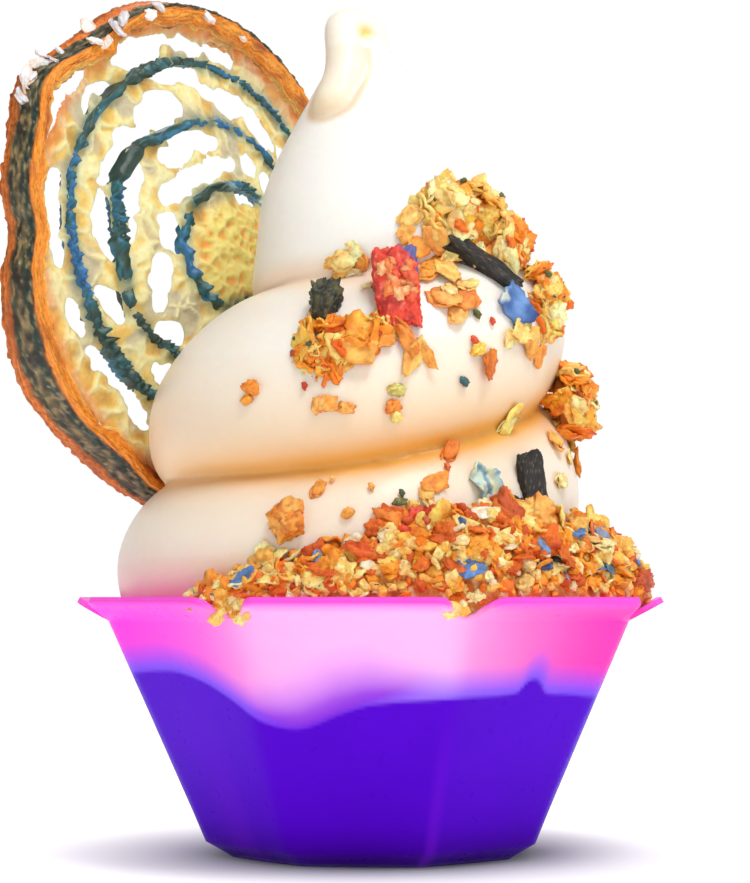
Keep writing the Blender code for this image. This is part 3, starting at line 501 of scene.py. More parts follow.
swirl_bm = swept(swirl_point, round((ROPE_KEYS[-1][0] - ROPE_KEYS[0][0]) * 110), 26, 0.05 * MM)
tongue_rows = [(number, *key) for number, key in enumerate(TONGUE_KEYS)]
tongue_path = [[value * MM for value in follow(tongue_rows, step / 10)] for step in range(51)]
for x, y, z, radius in tongue_path:
    there = Matrix.Translation((x, y, z))
    ops.create_icosphere(swirl_bm, subdivisions=3, radius=radius, matrix=there)
swirl = new_piece("yogurt_swirl", swirl_bm, "yogurt_cream", "yogurt")
fuse = swirl.modifiers.new("fuse", "REMESH")
fuse.mode = "VOXEL"
fuse.voxel_size = 0.62 * MM
fuse.use_smooth_shade = True
soften = swirl.modifiers.new("soften", "SMOOTH")
soften.factor = 0.5
soften.iterations = 5
apply_modifiers(swirl)

CREASE_SPOTS = 900
creases = kdtree.KDTree(CREASE_SPOTS)
for step in range(CREASE_SPOTS):
    turns = -0.5 + 2.7 * step / (CREASE_SPOTS - 1)
    creases.insert(rope_point(turns, 0.0), step)
creases.balance()


def cream_colour(place):
    """White on the shoulders, painted warm shade in the creases and under each rope, painted pink
    light from the cup beside its rim, and painted shade on the folded tip.
    """
    spot, _, away = creases.find(place)
    sunny = 0.5 + 0.5 * cos(atan2(place.y, place.x) - radians(300))
    high, away = place.z / MM, away / MM
    low = min(1.0, max(0.0, (98 - high) / 12))
    # Painted warm shade in the creases, stronger on the sunny side, and painted shade on the
    # underside of each rope just above its crease.
    painted_crease_shade = exp(-((away / 4.0) ** 2)) * (0.35 + 0.65 * sunny) * low
    painted_crease_shade += 0.35 * exp(-((away / 9) ** 2)) * sunny * low
    painted_underside_shade = exp(-((away / 13) ** 2)) * min(1.0, max(0.0, (place.z - spot.z) / MM / 1.5)) * low
    # Painted pink light from the cup, on the cream just beside its rim.
    rim = exp(-(((high - 42) / 5.0) ** 2))
    colour = coated(
        between(seen(0xF6E9D8), seen(0xFCF7F0), (high - 55) / 50),
        (0xECCEA0, 0.62 * painted_underside_shade),
        (0xE8A84E, 0.9 * painted_crease_shade),
        (0xF0B0B4, 0.55 * rim),
    )
    if high < 115:
        return colour
    off = min(((place - Vector(row[:3])).length - row[3]) / MM for row in tongue_path)
    painted_fold_shade = max(0.0, 1 - abs(off - 0.9) / 1.2)
    # On the folded tip: a slightly darker cream on the tongue, painted shade on its lower end and
    # along the fold beside it, and a gold spot of painted shade in the dimple.
    return coated(
        colour,
        (0xF6EEDE, (0.6 - off) / 0.5),
        (0xECCE9C, 0.8 * (0.4 - off) / 0.5 * (126 - high) / 5 if high < 126 else 0.0),
        (0xE2BE8C, 0.75 * painted_fold_shade * (high < 134)),
        (0xF4CC78, 1.3 - (place - DIMPLE).length / MM / 1.6),
    )


cream = food_finish(
    "yogurt_cream", 0.38, 1.6, grain=0.012, bump_mm=0.025,
    **soft(0.55, (1.0, 0.62, 0.36), 2.6),
    Coat_Weight=0.12, Coat_Roughness=0.3, IOR=1.4,
)
painted(swirl, cream, cream_colour)

fill_levels = [
    filling_level(share, lambda angle, share=share: on_berry(angle, share) + 0.02 * MM)
    for share in (0.06, 0.25, 0.5, 0.75, 0.9)
]
fill_levels += [
    filling_level(1.0, lambda angle, up=up: on_berry(angle) * (1 - up) + up * FILL_TOP * MM)
    for up in (0.0, 0.25, 0.5, 0.75, 1.0)
]
fill_levels.append(filling_level(0.72, lambda angle: (FILL_TOP + 1.4) * MM))
filling = new_piece("yogurt_filling", closed(lofted(160, fill_levels)), "yogurt_cream", "yogurt")
# The filling is painted pink: pink light that reaches it through the cup's wall.
painted(filling, cream, lambda place: seen(0xFFD6EC))


# The round crisp: a slice of a rolled pastry, baked thin until its crumb opened into lace.
# A folded crust with a dark band runs round it, and the blue layer of the roll shows as a
# rib that winds inwards to a golden crumb. Burst bubbles leave ragged holes between them.
CRISP_CENTRE = (-31.4 * MM, 16.2 * MM, 101.8 * MM)
CRISP_TURN, CRISP_LEAN = radians(53.4), radians(1)
CRISP_RADIUS = 44.4
COIL_KEYS = (
    # turns clockwise from the right, radius in mm
    (0.15, 7.3), (0.3, 9.3), (0.44, 11.2), (0.56, 12.3), (0.74, 12.2), (0.87, 14.4), (1, 16),
    (1.17, 18.5), (1.35, 21.8), (1.41, 23.7), (1.5, 24), (1.57, 25.8), (1.67, 23.5), (1.79, 24),
    (2, 24.6), (2.17, 26.4), (2.34, 29.4), (2.45, 31.6), (2.56, 33.7), (2.68, 33.4), (2.83, 35.1),
    (2.92, 37),
)
LACE_HOLES = (
    # across and up from the coil's middle, half length and half width in mm, turn in degrees
    (-15.6, 33.1, 6, 2.7, 15), (-10.5, 36.2, 3.1, 0.9, 12), (-2.8, 37.1, 3.8, 1.1, 175),
    (6.1, 37.2, 3.7, 1.8, 171), (-30.7, 27.3, 3.5, 1.9, 58), (-24, 25.8, 2.1, 1.2, 15),
    (-27.6, 23.3, 2.1, 0.7, 67), (-35.8, 6.9, 2.7, 1.1, 81), (-36.1, 1.9, 4.3, 1.5, 89),
    (-35.3, -3, 2.4, 1.1, 104), (-31, -13.8, 3.2, 1.1, 120), (-25.5, -20.1, 2.3, 1.3, 147),
    (-21.4, -22.4, 4, 1.7, 144), (-16.9, -27.8, 4, 1.1, 137), (-12.7, 23.8, 5.7, 2.9, 22),
    (-6.5, 31, 6, 1.5, 13), (5.7, 28.8, 8.1, 1.4, 173), (-19.6, 18.2, 3.5, 1.6, 25),
    (-24.3, 12.8, 3.8, 1.2, 57), (-27.1, 4, 3.6, 1.4, 79), (-25.7, -1.1, 2.5, 1.2, 114),
    (-25, -10.8, 3.2, 1.4, 127), (-21.5, 9.5, 3.8, 1.6, 70), (-21.9, 5.2, 1.5, 0.9, 15),
    (-21.8, 1.9, 1.6, 0.8, 74), (-11.4, 16.1, 3.8, 1.5, 16), (-6.2, 19.6, 5.7, 1.5, 6),
    (-12.7, 10.1, 3.5, 2, 26), (-6.3, 13.6, 6.7, 1.2, 19), (0.1, 16.4, 3.5, 1.2, 16),
    (-3.8, 16.3, 1.3, 0.7, 21), (-14.2, 2.9, 3.3, 2.2, 104), (-16.1, -4.8, 3, 1.8, 84),
    (-16.2, -9.2, 1.9, 1.3, 113), (-13, -14.7, 2.6, 1.8, 180), (4.4, 11, 2.7, 1.2, 174),
)
LACE_REACH = 41.0
LACE_STEP = 0.34


def crisp_matrix():
    across = Vector((cos(CRISP_TURN), sin(CRISP_TURN), 0))
    front = Vector((sin(CRISP_TURN), -cos(CRISP_TURN), 0))
    turned = Matrix((across, Vector((0, 0, 1)), front)).transposed().to_4x4()
    return Matrix.Translation(CRISP_CENTRE) @ turned @ Matrix.Rotation(-CRISP_LEAN, 4, "X")


def dished(across, up):
    """Where a point of the coil lies: its middle is pushed forward and to the right."""
    inward = max(0.0, 1 - hypot(across, up) / 34)
    return across + 6 * inward, up, 4.4 * inward * (2 - inward)


def coil_turns(share):
    return COIL_KEYS[0][0] + (COIL_KEYS[-1][0] - COIL_KEYS[0][0]) * share


COIL_SPOTS = 1400
coil_path = kdtree.KDTree(COIL_SPOTS)
for step in range(COIL_SPOTS):
    turns = coil_turns(step / (COIL_SPOTS - 1))
    coil_path.insert(polar(follow(COIL_KEYS, turns)[0], -TURN * turns, 0), step)
coil_path.balance()

lace_rng = random.Random(4)
holes = list(LACE_HOLES)
turns = 0.30
while turns < 2.75:
    inner = follow(COIL_KEYS, turns)[0] + 1.9
    outer = follow(COIL_KEYS, turns + 1)[0] - 1.9 if turns + 1 < 2.92 else 37.6
    half = lace_rng.uniform(1.8, 4.6)
    turns += (half + 0.8) / (TURN * (inner + outer) / 2)
    spot = polar((inner + outer) / 2 + lace_rng.uniform(-0.8, 0.8), -TURN * turns, 0)
    hidden = spot.x > 6 or (spot.y < -18 and spot.x > -14)
    if hidden and outer - inner > 2.4:
        wide = min(half, (outer - inner) / 2) * lace_rng.uniform(0.6, 0.95)
        holes.append((spot.x, spot.y, half, wide, math.degrees(atan2(spot.y, spot.x)) + 90))
    turns += (half + 0.8) / (TURN * (inner + outer) / 2)
holes = np.array(holes)


def hole_depth(spots):
    """How far each spot is from the edge of the nearest hole in mm, below nothing inside."""
    warp = [noise_vector(Vector((x * 0.42, y * 0.42, 2))) for x, y in spots]
    fine = [noise_vector(Vector((x * 0.9, y * 0.9, 7))) for x, y in spots]
    moved = spots + 0.95 * np.array(warp)[:, :2] + 0.28 * np.array(fine)[:, :2]
    depth = np.full(len(spots), 99.0)
    for x, y, half_long, half_wide, spin in holes:
        c, s = cos(radians(spin)), sin(radians(spin))
        along = (moved[:, 0] - x) * c + (moved[:, 1] - y) * s
        aside = (moved[:, 1] - y) * c - (moved[:, 0] - x) * s
        q = np.sqrt((along / half_long) ** 2 + (aside / half_wide) ** 2)
        depth = np.minimum(depth, (q - 1) * half_wide - 0.25)
    off_rib = np.array([coil_path.find((x, y, 0))[2] for x, y in spots])
    return np.maximum(depth, 0.5 - off_rib)


def cell_walls(x, y, size, seed):
    """How near a spot is to the wall between two bubbles of the crumb: 0 on it."""
    reach = voronoi(Vector((x / size, y / size, seed)))[0]
    return (reach[1] - reach[0]) * size


lace_bm = bmesh.new()
ops.create_grid(
    lace_bm,
    x_segments=round(2 * LACE_REACH / LACE_STEP),
    y_segments=round(2 * LACE_REACH / LACE_STEP),
    size=LACE_REACH,
)
spots = np.array([vert.co.xy for vert in lace_bm.verts])
depth = hole_depth(spots)
outside = np.hypot(spots[:, 0], spots[:, 1]) > LACE_REACH
away = [
    face
    for face in lace_bm.faces
    if np.mean([depth[vert.index] for vert in face.verts]) < 0
    or any(outside[vert.index] for vert in face.verts)
]
ops.delete(lace_bm, geom=away, context="FACES")
scraps = [vert for vert in lace_bm.verts if len(vert.link_faces) < 2]
ops.delete(lace_bm, geom=scraps, context="VERTS")
for _ in range(3):
    edge_verts = [vert for vert in lace_bm.verts if vert.is_boundary]
    spots = np.array([vert.co.xy for vert in edge_verts])
    here = hole_depth(spots)
    right = hole_depth(spots + (0.1, 0)) - here
    above = hole_depth(spots + (0, 0.1)) - here
    steepness = np.maximum(right**2 + above**2, 1e-5)
    for number, vert in enumerate(edge_verts):
        if vert.co.xy.length < LACE_REACH - 1:
            slope = Vector((right[number], above[number], 0))
            move = slope * (-here[number] * 0.1 / steepness[number])
            vert.co += move * min(1.0, 0.20 / max(move.length, 1e-6))
    ops.smooth_vert(
        lace_bm, verts=edge_verts, factor=0.35, use_axis_x=True, use_axis_y=True, use_axis_z=False
    )

BATTER, PALE = seen(0xFFE284), seen(0xFFFACC)


def lace_relief(x, y):
    """Height of the lace's front in mm and its colour, at a spot of the coil."""
    off = coil_path.find((x, y, 0))[2]
    heart = max(0.0, 1 - hypot(x - 1.5, y) / 11.5)
    edge = max(0.0, min(1.0, (hypot(x, y) - 37) / 3))
    bent = Vector((x, y, 1)) * 0.3
    wall = cell_walls(x + 1.4 * noise(bent), y + 1.4 * noise(bent * 1.3), 4.8, 3)
    inner_wall = cell_walls(x, y, 2.1, 5)
    ridge = exp(-((wall / 0.6) ** 2)) + 0.4 * exp(-((inner_wall / 0.3) ** 2))
    crumple = noise(Vector((x, y, 0)) * 0.35)
    clear = noise(Vector((x * 0.15, y * 0.15, 5)))
    height = 0.25 + 0.75 * ridge + 0.45 * crumple + 0.6 * edge * edge
    # Pale on the cell walls and darker amber in the hollows between them: painted shade in the
    # hollows.
    colour = coated(
        between(PALE, BATTER, min(1.0, wall / 1.1)),
        (0xDEB04E, 0.8 * (wall - 0.9) / 2.0 + 0.6 * crumple),
        (0xDED4B2, (clear - 0.08) * 5 * min(1.0, wall)),
        (0xFA9628, edge * (0.75 + 0.5 * crumple)),
    )
    if heart > 0:
        pores = cell_walls(x, y, 2.2, 9)
        pore = min(1.0, pores / 0.9)
        height += 1.6 * min(1.0, heart * 3) - 0.9 * pore * min(1.0, heart * 4)
        # The pores are painted darker gold in their hollows: painted shade.
        crumb = between(seen(0xFFF6A0), seen(0xFFD45C), pore)
        crumb = coated(crumb, (0xFCAA30, 0.8 * (pores - 0.6)))
        colour = between(colour, crumb, heart * 5)
    if off < 2.2:
        height += 0.6 * max(0.0, 1 - off / 1.2)
        # A teal halo beside the rib: partly dye from the blue layer, partly painted shadow of the
        # rib.
        dye_and_shadow = noise(Vector((x, y, 4)) * 0.4) + 0.55
        colour = coated(colour, (0x709684, dye_and_shadow * (2.2 - off) / 2.6))
    return height, colour


for vert in lace_bm.verts:
    vert.co.z = 0
front = lace_bm.verts.layers.int.new("front")
for vert in lace_bm.verts:
    vert[front] = 1
ops.solidify(lace_bm, geom=lace_bm.faces[:], thickness=0.5)
spots = np.array([vert.co.xy for vert in lace_bm.verts])
depth = np.clip(hole_depth(spots), 0, 9)
lace_colours = []
for number, vert in enumerate(lace_bm.verts):
    x, y = vert.co.xy
    height, colour = lace_relief(x, y)
    thin = 1 - exp(-depth[number] / 0.5)
    side = 1 if vert[front] else -0.75
    lift = side * (0.16 + max(0.0, height) * thin * 0.62)
    across, up, forward = dished(x, y)
    vert.co = Vector((across, up, forward + lift)) * MM
    lace_colours.append(between(PALE, colour, 0.35 + thin))
ops.recalc_face_normals(lace_bm, faces=lace_bm.faces)
ops.transform(lace_bm, matrix=crisp_matrix(), verts=lace_bm.verts)
lace = new_piece("crisp_lace", lace_bm, "crisp_pastry", "pastry_crisp")
tint(lace.data, lace_colours)
lace_paint = food_finish(
    "crisp_lace", 0.42, 0.9, grain=0.10, bump_mm=0.06, **soft(0.35, (1.0, 0.6, 0.25), 0.9)
)
lace.data.materials.append(lace_paint)


def rib_point(share, around):
    """A point of the blue rib and its colour: a thin wavy band that stands on its edge."""
    turns = coil_turns(share)
    wave = Vector((turns * 6, 2, 0))
    radius = follow(COIL_KEYS, turns)[0]
    arc = turns * radius / 30
    torn = Vector((arc * 75, 2, 0))
    radius += 0.6 * noise(wave * 1.6) + 0.45 * noise(wave * 5)
    half = 0.72 + 0.6 * noise(wave * 1.4 + Vector((0, 9, 0))) + 0.5 * noise(torn)
    tall = 1.5 + 1.2 * noise(wave + Vector((0, 0, 5))) + 1.5 * noise(torn + Vector((0, 7, 0)))
    half = max(0.5, half) * min(1.0, 12 * share + 0.5, 12 * (1 - share) + 0.3)
    c, s = cos(TURN * around), sin(TURN * around)
    edge = Vector((abs(c) ** 0.6 * math.copysign(1, c), abs(s) ** 0.6 * math.copysign(1, s)))
    rough = 1 + 0.55 * noise(Vector((arc * 110, 2.2 * c, 2.2 * s)))
    spot = polar(radius + edge.x * half * rough, -TURN * turns, 0)
    forward = (max(0.7, tall) if edge.y > 0 else 1.0) * edge.y * rough
    blue = 0.8 * noise(wave * 0.9 + Vector((0, 0, 11))) + 0.5 * noise(wave * 3.4)
    blue += 0.6 * noise(Vector((arc * 46, 1.6 * c, 1.6 * s)))
    colour = coated(
        seen(0x2C6C74),
        (0x30463C, 0.45 + 2.2 * blue),
        (0x3074AC, -0.45 - 2.6 * blue),
    )
    colour = colour * (1 + 0.8 * noise(Vector((arc * 130, 3 * c, 3 * s))))
    # Pale patches on the rib's front edge: a painted highlight.
    pale = noise(wave * 2.6 + Vector((5, 0, 0))) - 0.38
    colour = coated(
        colour,
        (0x242C46, (0.035 - share) * 40),
        (0xAACCD4, 5 * pale * max(0.0, edge.y)),
    )
    x, y, z = dished(spot.x, spot.y)
    return Vector((x, y, z + forward)) * MM, np.clip(colour, 0, 1)


rib_bm = swept(rib_point, 1500, 20, 0.005 * MM)
ops.transform(rib_bm, matrix=crisp_matrix(), verts=rib_bm.verts)
rib = new_piece("crisp_blue_rib", rib_bm, "crisp_pastry", "pastry_crisp")
rib.data.materials.append(lace_paint)


# The crust of the crisp: layers of laminated pastry folded over at the rim, flaky and deep
# orange at the back, near black with seeds round the middle, and golden at the front, with a
# painted highlight along the inner rim and painted shade in the gaps between the flaky layers.
CRUST_WAVES = (
    # direction in degrees, half width in degrees, swell of the rim in mm, of its thickness
    (148, 9, 2.4, 0), (127, 12, -0.9, 0), (181, 7, -2.4, -0.1), (212, 14, 1.2, 0.3),
    (238, 9, -0.9, 0.3), (300, 20, 0.8, 0.1), (20, 18, -0.8, -0.1),
)
CRUST_PROFILE = (
    # share of the way round, then out from the crisp's radius and forward, in mm
    (0, 0.3, -3.8), (0.125, 0.4, -1.3), (0.25, -0.5, 2.4), (0.375, -1.5, 3.1), (0.5, -3.3, 2.5),
    (0.625, -4.2, 0.9), (0.75, -4.4, -1.7), (0.875, -2.6, -3.5), (1, 0.3, -3.8),
)
CRUST_COLOURS = (
    # share of the way round the profile, colour
    (0, 0xD67022), (0.085, 0xE67C2A), (0.105, 0x523E22), (0.16, 0x625234), (0.235, 0x4C3A20),
    # The pale gold at 0.52 is a painted highlight along the inner rim.
    (0.262, 0xFF9224), (0.34, 0xFFA634), (0.42, 0xFF9628), (0.52, 0xFFCC68), (0.66, 0xE6963C),
    (0.8, 0xD27426), (0.9, 0xC8601C), (1, 0xD67022),
)


CRUST_ROLL = (
    # direction in degrees, how far the colours are rolled towards the front of the crust
    (-90, 0), (-40, 0.03), (20, 0.035), (45, 0.05), (56, 0.08), (70, 0.11), (90, 0.105),
    (112, 0.09), (128, 0.05), (142, 0), (270, 0),
)


def crust_swell(angle):
    """How much wider and thicker the crust is in a direction."""
    wide, thick = 0.0, 1.0
    for centre, half_width, swell, thicker in CRUST_WAVES:
        off = (math.degrees(angle) - centre + 180) % 360 - 180
        weight = exp(-((off / half_width) ** 2))
        wide += swell * weight
        thick += thicker * weight
    return wide, thick


def crust_point(round_share, share):
    """A point of the crust and its colour: its layers run round the rim as fine ledges."""
    angle = TURN * round_share
    wide, thick = crust_swell(angle)
    out, forward = follow(CRUST_PROFILE, share)
    ring = Vector((cos(angle), sin(angle), 0))
    waver = noise(ring * 3.2 + Vector((0, 0, 5)))
    moved = (share + 0.020 * waver + 0.014 * noise(ring * 11)) % 1.0

    def grain(fine, deep):
        return noise(ring * fine + Vector((0, 0, moved * deep)))

    flaky = 1.0 if moved > 0.85 or moved < 0.095 else (0.45 if moved > 0.26 else 0.0)
    if 0.42 < moved < 0.8:
        out += 1.3 * noise(ring * 7) + 0.9 * noise(ring * 19)
    ledge = (moved * 24 + 2.4 * grain(4, 4)) % 1.0 * flaky
    lift = 0.50 * ledge + 0.38 * (grain(22, 26) + 0.6 * grain(60, 60)) - 0.25
    normal = Vector((out + 2.6, forward + 0.3)).normalized()
    radius = CRISP_RADIUS + wide + out + lift * normal.x
    moved = (moved - follow(CRUST_ROLL, (math.degrees(angle) + 90) % 360 - 90)[0]) % 1.0
    colour = np.array(follow(crust_ramp, moved))
    speck = grain(60, 70)
    if 0.10 < moved < 0.25:
        blotch = grain(24, 40) + 0.5 * speck
        colour = coated(
            colour,
            (0x967E50, (blotch - 0.05) * 2.2),
            (0x281A0C, (-blotch - 0.10) * 2.4),
            (0xAAA28A, (speck - 0.5) * 4),
        )
    else:
        # Painted shade darkens the gaps between the flaky layers.
        colour = colour * (1 - 0.62 * flaky * (1 - ledge) ** 3 + 0.35 * speck)
        colour = coated(colour, (0xA44A0E, (grain(7, 7) - 0.15) * 1.6))
    x, y, z = dished(radius * cos(angle), radius * sin(angle))
    return Vector((x, y, z + forward * thick + lift * normal.y)) * MM, np.clip(colour, 0, 1)


crust_ramp = [(place, *seen(code)) for place, code in CRUST_COLOURS]
crust_bm = swept(crust_point, 760, 110, 0.01 * MM)
ops.transform(crust_bm, matrix=crisp_matrix(), verts=crust_bm.verts)
crust = new_piece("crisp_crust", crust_bm, "crisp_pastry", "pastry_crisp")
crust_paint = food_finish(
    "crisp_crust", 0.45, 0.7, grain=0.16, bump_mm=0.10, **soft(0.06, (1.0, 0.6, 0.3), 0.5)
)
crust.data.materials.append(crust_paint)


# The salt on the crisp: a few thin, clear flakes that cling to the crust at the upper left.
def laid(place, out, spin):
    """A matrix that lays a form at a place, facing out and spun about that direction."""
    across = Vector((0, 0, 1)).cross(out).normalized()
    turned = Matrix((across, out.cross(across), out)).transposed().to_4x4()
    return Matrix.Translation(place) @ turned @ Matrix.Rotation(spin, 4, "Z")


def torn_outline(rng, sides):
    """A broken outline with straight edges, as how far it reaches in each direction."""
    cuts = []
    for side in range(sides):
        turn = TURN * (side + rng.uniform(-0.3, 0.3)) / sides
        cuts.append((cos(turn), sin(turn), rng.uniform(0.32, 0.48)))
    return lambda c, s: min(
        [0.54] + [d / (c * x + s * y) for x, y, d in cuts if c * x + s * y > 0.2]
    )


def ragged_sheet(bm, rng, fine, curl, wobble, lift=0.0):
    """Adds a thin sheet one unit across with a torn outline, buckled and curled."""
    seed = rng.uniform(0, 99)
    outline = torn_outline(rng, rng.randint(5, 7))
    drift = Vector((rng.uniform(-0.1, 0.1), rng.uniform(-0.1, 0.1), 0))
    made = ops.create_grid(bm, x_segments=fine, y_segments=max(2, fine - 2), size=0.5)
    for vert in made["verts"]:
        x, y = vert.co.xy
        share = max(abs(x), abs(y), 1e-6) / 0.5
        c, s = x / hypot(x + 1e-9, y), y / hypot(x + 1e-9, y)
        ragged = 1 + 0.16 * noise(Vector((c * 4, s * 4, seed)))
        ragged += 0.09 * noise(Vector((c * 10, s * 10, seed)))
        reach = share * ragged * outline(c, s)
        fold = wobble * noise(Vector((x * 2.2, y * 2.2, seed)))
        fold += 0.3 * wobble * noise(Vector((x * 8, y * 8, seed)))
        vert.co = Vector((reach * c, reach * s, lift + fold + curl * (x * x - 0.5 * y * y))) + drift


def flake_form(rng, fine=7, layers=1, thick=0.07, curl=0.18, wobble=0.17):
    """A flake of laminated pastry: one or more torn sheets that still hold together."""
    bm = bmesh.new()
    for layer in range(layers):
        ragged_sheet(bm, rng, fine, curl + rng.uniform(-0.2, 0.2), wobble, layer * thick * 1.2)
    ops.solidify(bm, geom=bm.faces[:], thickness=thick)
    return formed(closed(bm), rng)


def any_way(rng):
    return Vector([rng.gauss(0, 1) for _ in range(3)]).normalized()


def crumb_form(rng, detail=2, rough=0.36, pits=0.0):
    """A broken crumb, one unit across: blunt facets with a gritty, pitted surface."""
    seed = rng.uniform(0, 99)
    cuts = [(any_way(rng), rng.uniform(0.30, 0.46)) for _ in range(13)]
    bm = bmesh.new()
    ops.create_icosphere(bm, subdivisions=detail, radius=0.5)
    for vert in bm.verts:
        way = vert.co.normalized()
        facet = min([0.56] + [d / way.dot(n) for n, d in cuts if way.dot(n) > 0.2])
        lump = noise(way * 1.6 + Vector((seed, 0, 0)))
        grit = noise(way * 4.5 + Vector((0, seed, 0)))
        fine = noise(way * 12 + Vector((0, seed, 0)))
        pit = voronoi(way * 3.0 + Vector((0, 0, seed)))[0][0]
        swell = rough * (0.6 * lump + 0.5 * grit + 0.25 * fine)
        vert.co = way * facet * (1 + swell - 0.35 * pits * max(0.0, 1 - (pit / 0.42) ** 2))
    return formed(bm, rng)


shade_of = {}


def formed(bm, rng):
    """Keeps the form as a mesh with a shade from dark to light on each of its points."""
    seed = rng.uniform(0, 99)
    mesh = bpy.data.meshes.new("form")
    bm.to_mesh(mesh)
    bm.free()
    mesh.shade_smooth()
    mesh.attributes.new("tint", "FLOAT_COLOR", "POINT")
    tones = []
    for vert in mesh.vertices:
        tone = 1 + 0.60 * noise(vert.co * 3.1 + Vector((seed, 0, 0)))
        tone += 0.40 * noise(vert.co * 8 + Vector((0, seed, 0)))
        tones.append(tone - 0.30 * max(0.0, vert.co.xy.length - 0.38) / 0.2)
    tones = np.maximum(tones, 0.1)
    shade_of[mesh.name] = 1.12 * np.stack([tones**0.35, tones**0.85, tones**1.4], axis=1)
    return mesh


def heaped(name, items, slot, paint, *nodes):
    """Joins copies of small forms, each with its matrix and colour, into one piece."""
    bm = bmesh.new()
    for form, matrix, colour in items:
        copy = form.copy()
        copy.transform(matrix)
        tint(copy, np.clip(shade_of[form.name] * colour, 0, 1))
        bm.from_mesh(copy)
        bpy.data.meshes.remove(copy)
    piece = new_piece(name, bm, slot, *nodes)
    piece.data.materials.append(paint)
    return piece


salt_rng = random.Random(8)
salt_forms = [flake_form(salt_rng, 5, 2, thick=0.09, curl=0.05, wobble=0.14) for _ in range(5)]
SALT_PLACES = (
    # direction on the crisp in degrees, radius, length and width in mm
    (148.8, 47.6, 5.6, 3.6), (152.6, 48, 5, 3.4), (148.4, 48.8, 4.2, 2.8), (140.9, 46.6, 4.2, 3.4),
    (143.4, 46.8, 3.8, 2.8), (141.5, 45.4, 2.4, 2), (137.2, 45.6, 2.2, 1.8), (131.2, 43, 3.2, 2.2),
    (128.8, 41.8, 2.8, 1.8), (125.2, 44, 4.2, 3.2), (120.4, 43, 4.2, 2.8), (123.7, 42.6, 4, 2.4),
    (107, 43.2, 3, 2), (111, 42, 3.2, 2.4), (89.8, 42, 4.8, 1.8), (76.1, 41, 1.8, 1.8),
)
SALT_TONES = (0xFCFAFA, 0xF0E2E0, 0xD6D2D8, 0xF8E6DE)
salt_items = []
for degrees, radius, length, width in SALT_PLACES:
    ring = radians(degrees)
    rows = [crust_point(ring / TURN, 0.12 + 0.02 * step)[0] for step in range(18)]
    spot = crisp_matrix() @ min(rows, key=lambda row: abs(row.xy.length - radius * MM))
    out = crisp_matrix().to_3x3() @ polar(0.6, ring, 1).normalized()
    tilt = Vector([salt_rng.uniform(-0.7, 0.7) for _ in range(3)])
    matrix = laid(spot + 0.3 * MM * out, (out + tilt).normalized(), salt_rng.uniform(0, TURN))
    tone = seen(salt_rng.choice(SALT_TONES))
    size = (length * MM, width * MM, length * 0.8 * MM)
    salt_items.append((salt_rng.choice(salt_forms), matrix @ Matrix.Diagonal((*size, 1)), tone))
clear_salt = food_finish(
    "salt", 0.25, 0.5, grain=0.05, bump_mm=0.04, **soft(0.4, (1.0, 0.9, 0.9), 1.0)
)
salt = heaped("salt_flakes", salt_items, "crisp_pastry", clear_salt, "pastry_crisp")
salt.data.shade_flat()


# The single toppings that lie on the swirl: a chewy piece of dried red fruit, a dark bumpy
# crumb, two shards of black crust, a blue petal, a pale petal and an orange pastry nugget.
def on_swirl(turns, share, upright=0.0):
    """A place on the swirl and the direction that faces out of it."""
    along = rope_point(turns + 0.004, share) - rope_point(turns - 0.004, share)
    up = rope_point(turns, share + 0.02) - rope_point(turns, share - 0.02)
    out = along.cross(up).normalized()
    level = Vector((out.x, out.y, 0)).normalized()
    return rope_point(turns, share), out.lerp(level, upright).normalized()


def single(name, slot, cad_node, paint, spot, size, spin, lift, form, colour_of):
    """One topping: its form is laid on the swirl and coloured by its own place."""
    place, out = on_swirl(*spot)
    place = place + out * (size[2] / 2 + lift) * MM
    matrix = laid(place, out, radians(spin)) @ Matrix.Diagonal((*[v * MM for v in size], 1))
    copy = form.copy()
    copy.transform(matrix)
    bm = bmesh.new()
    bm.from_mesh(copy)
    ops.recalc_face_normals(bm, faces=bm.faces)
    piece = new_piece(name, bm, slot, cad_node)
    tint(piece.data, np.clip([colour_of(vert.co) for vert in form.vertices], 0, 1))
    piece.data.materials.append(paint)


def block_form(rng, cuts, rough, gritty, stretch=2.0):
    """A torn block, one unit in each direction, with a gritty skin and blunt corners."""
    seed = rng.uniform(0, 99)
    bm = bmesh.new()
    ops.create_cube(bm, size=1)
    ops.subdivide_edges(bm, edges=bm.edges, cuts=cuts, use_grid_fill=True)
    for vert in bm.verts:
        blunt = 1 - 0.16 * max(0.0, vert.co.length - 0.58) / 0.28
        lump = noise(vert.co * 2.2 + Vector((seed, 0, 0)))
        at = Vector((vert.co.x, stretch * vert.co.y, 0.8 * vert.co.z))
        grit = noise(at * 6 + Vector((0, seed, 0))) + 0.7 * noise(at * 15)
        vert.co *= blunt + rough * lump + gritty * grit
    return formed(bm, rng)


def red_colour(at):
    at = Vector((at.x, 2 * at.y, at.z))
    streak = noise(at * 5) + 0.7 * noise(at * 14)
    return coated(
        seen(0xEE442C),
        (0xB41C10, 0.25 + 1.5 * streak - 0.5 * (at.x + 0.1)),
        (0xFF886C, -0.35 - 1.8 * noise(at * 7)),
        (0x6064A0, (at.x + 0.5 * at.y + 0.5 * noise(at * 4) - 0.62) * 6),
    )


def blue_colour(at):
    return coated(
        seen(0x3C62A0),
        (0x6E96CD, 0.5 + 1.6 * noise(at * 3)),
        (0xCED6C8, (noise(at * 2.2 + Vector((3, 1, 0))) - 0.18) * 5),
        (0x1E3468, (at.xy.length - 0.40) * 6),
    )


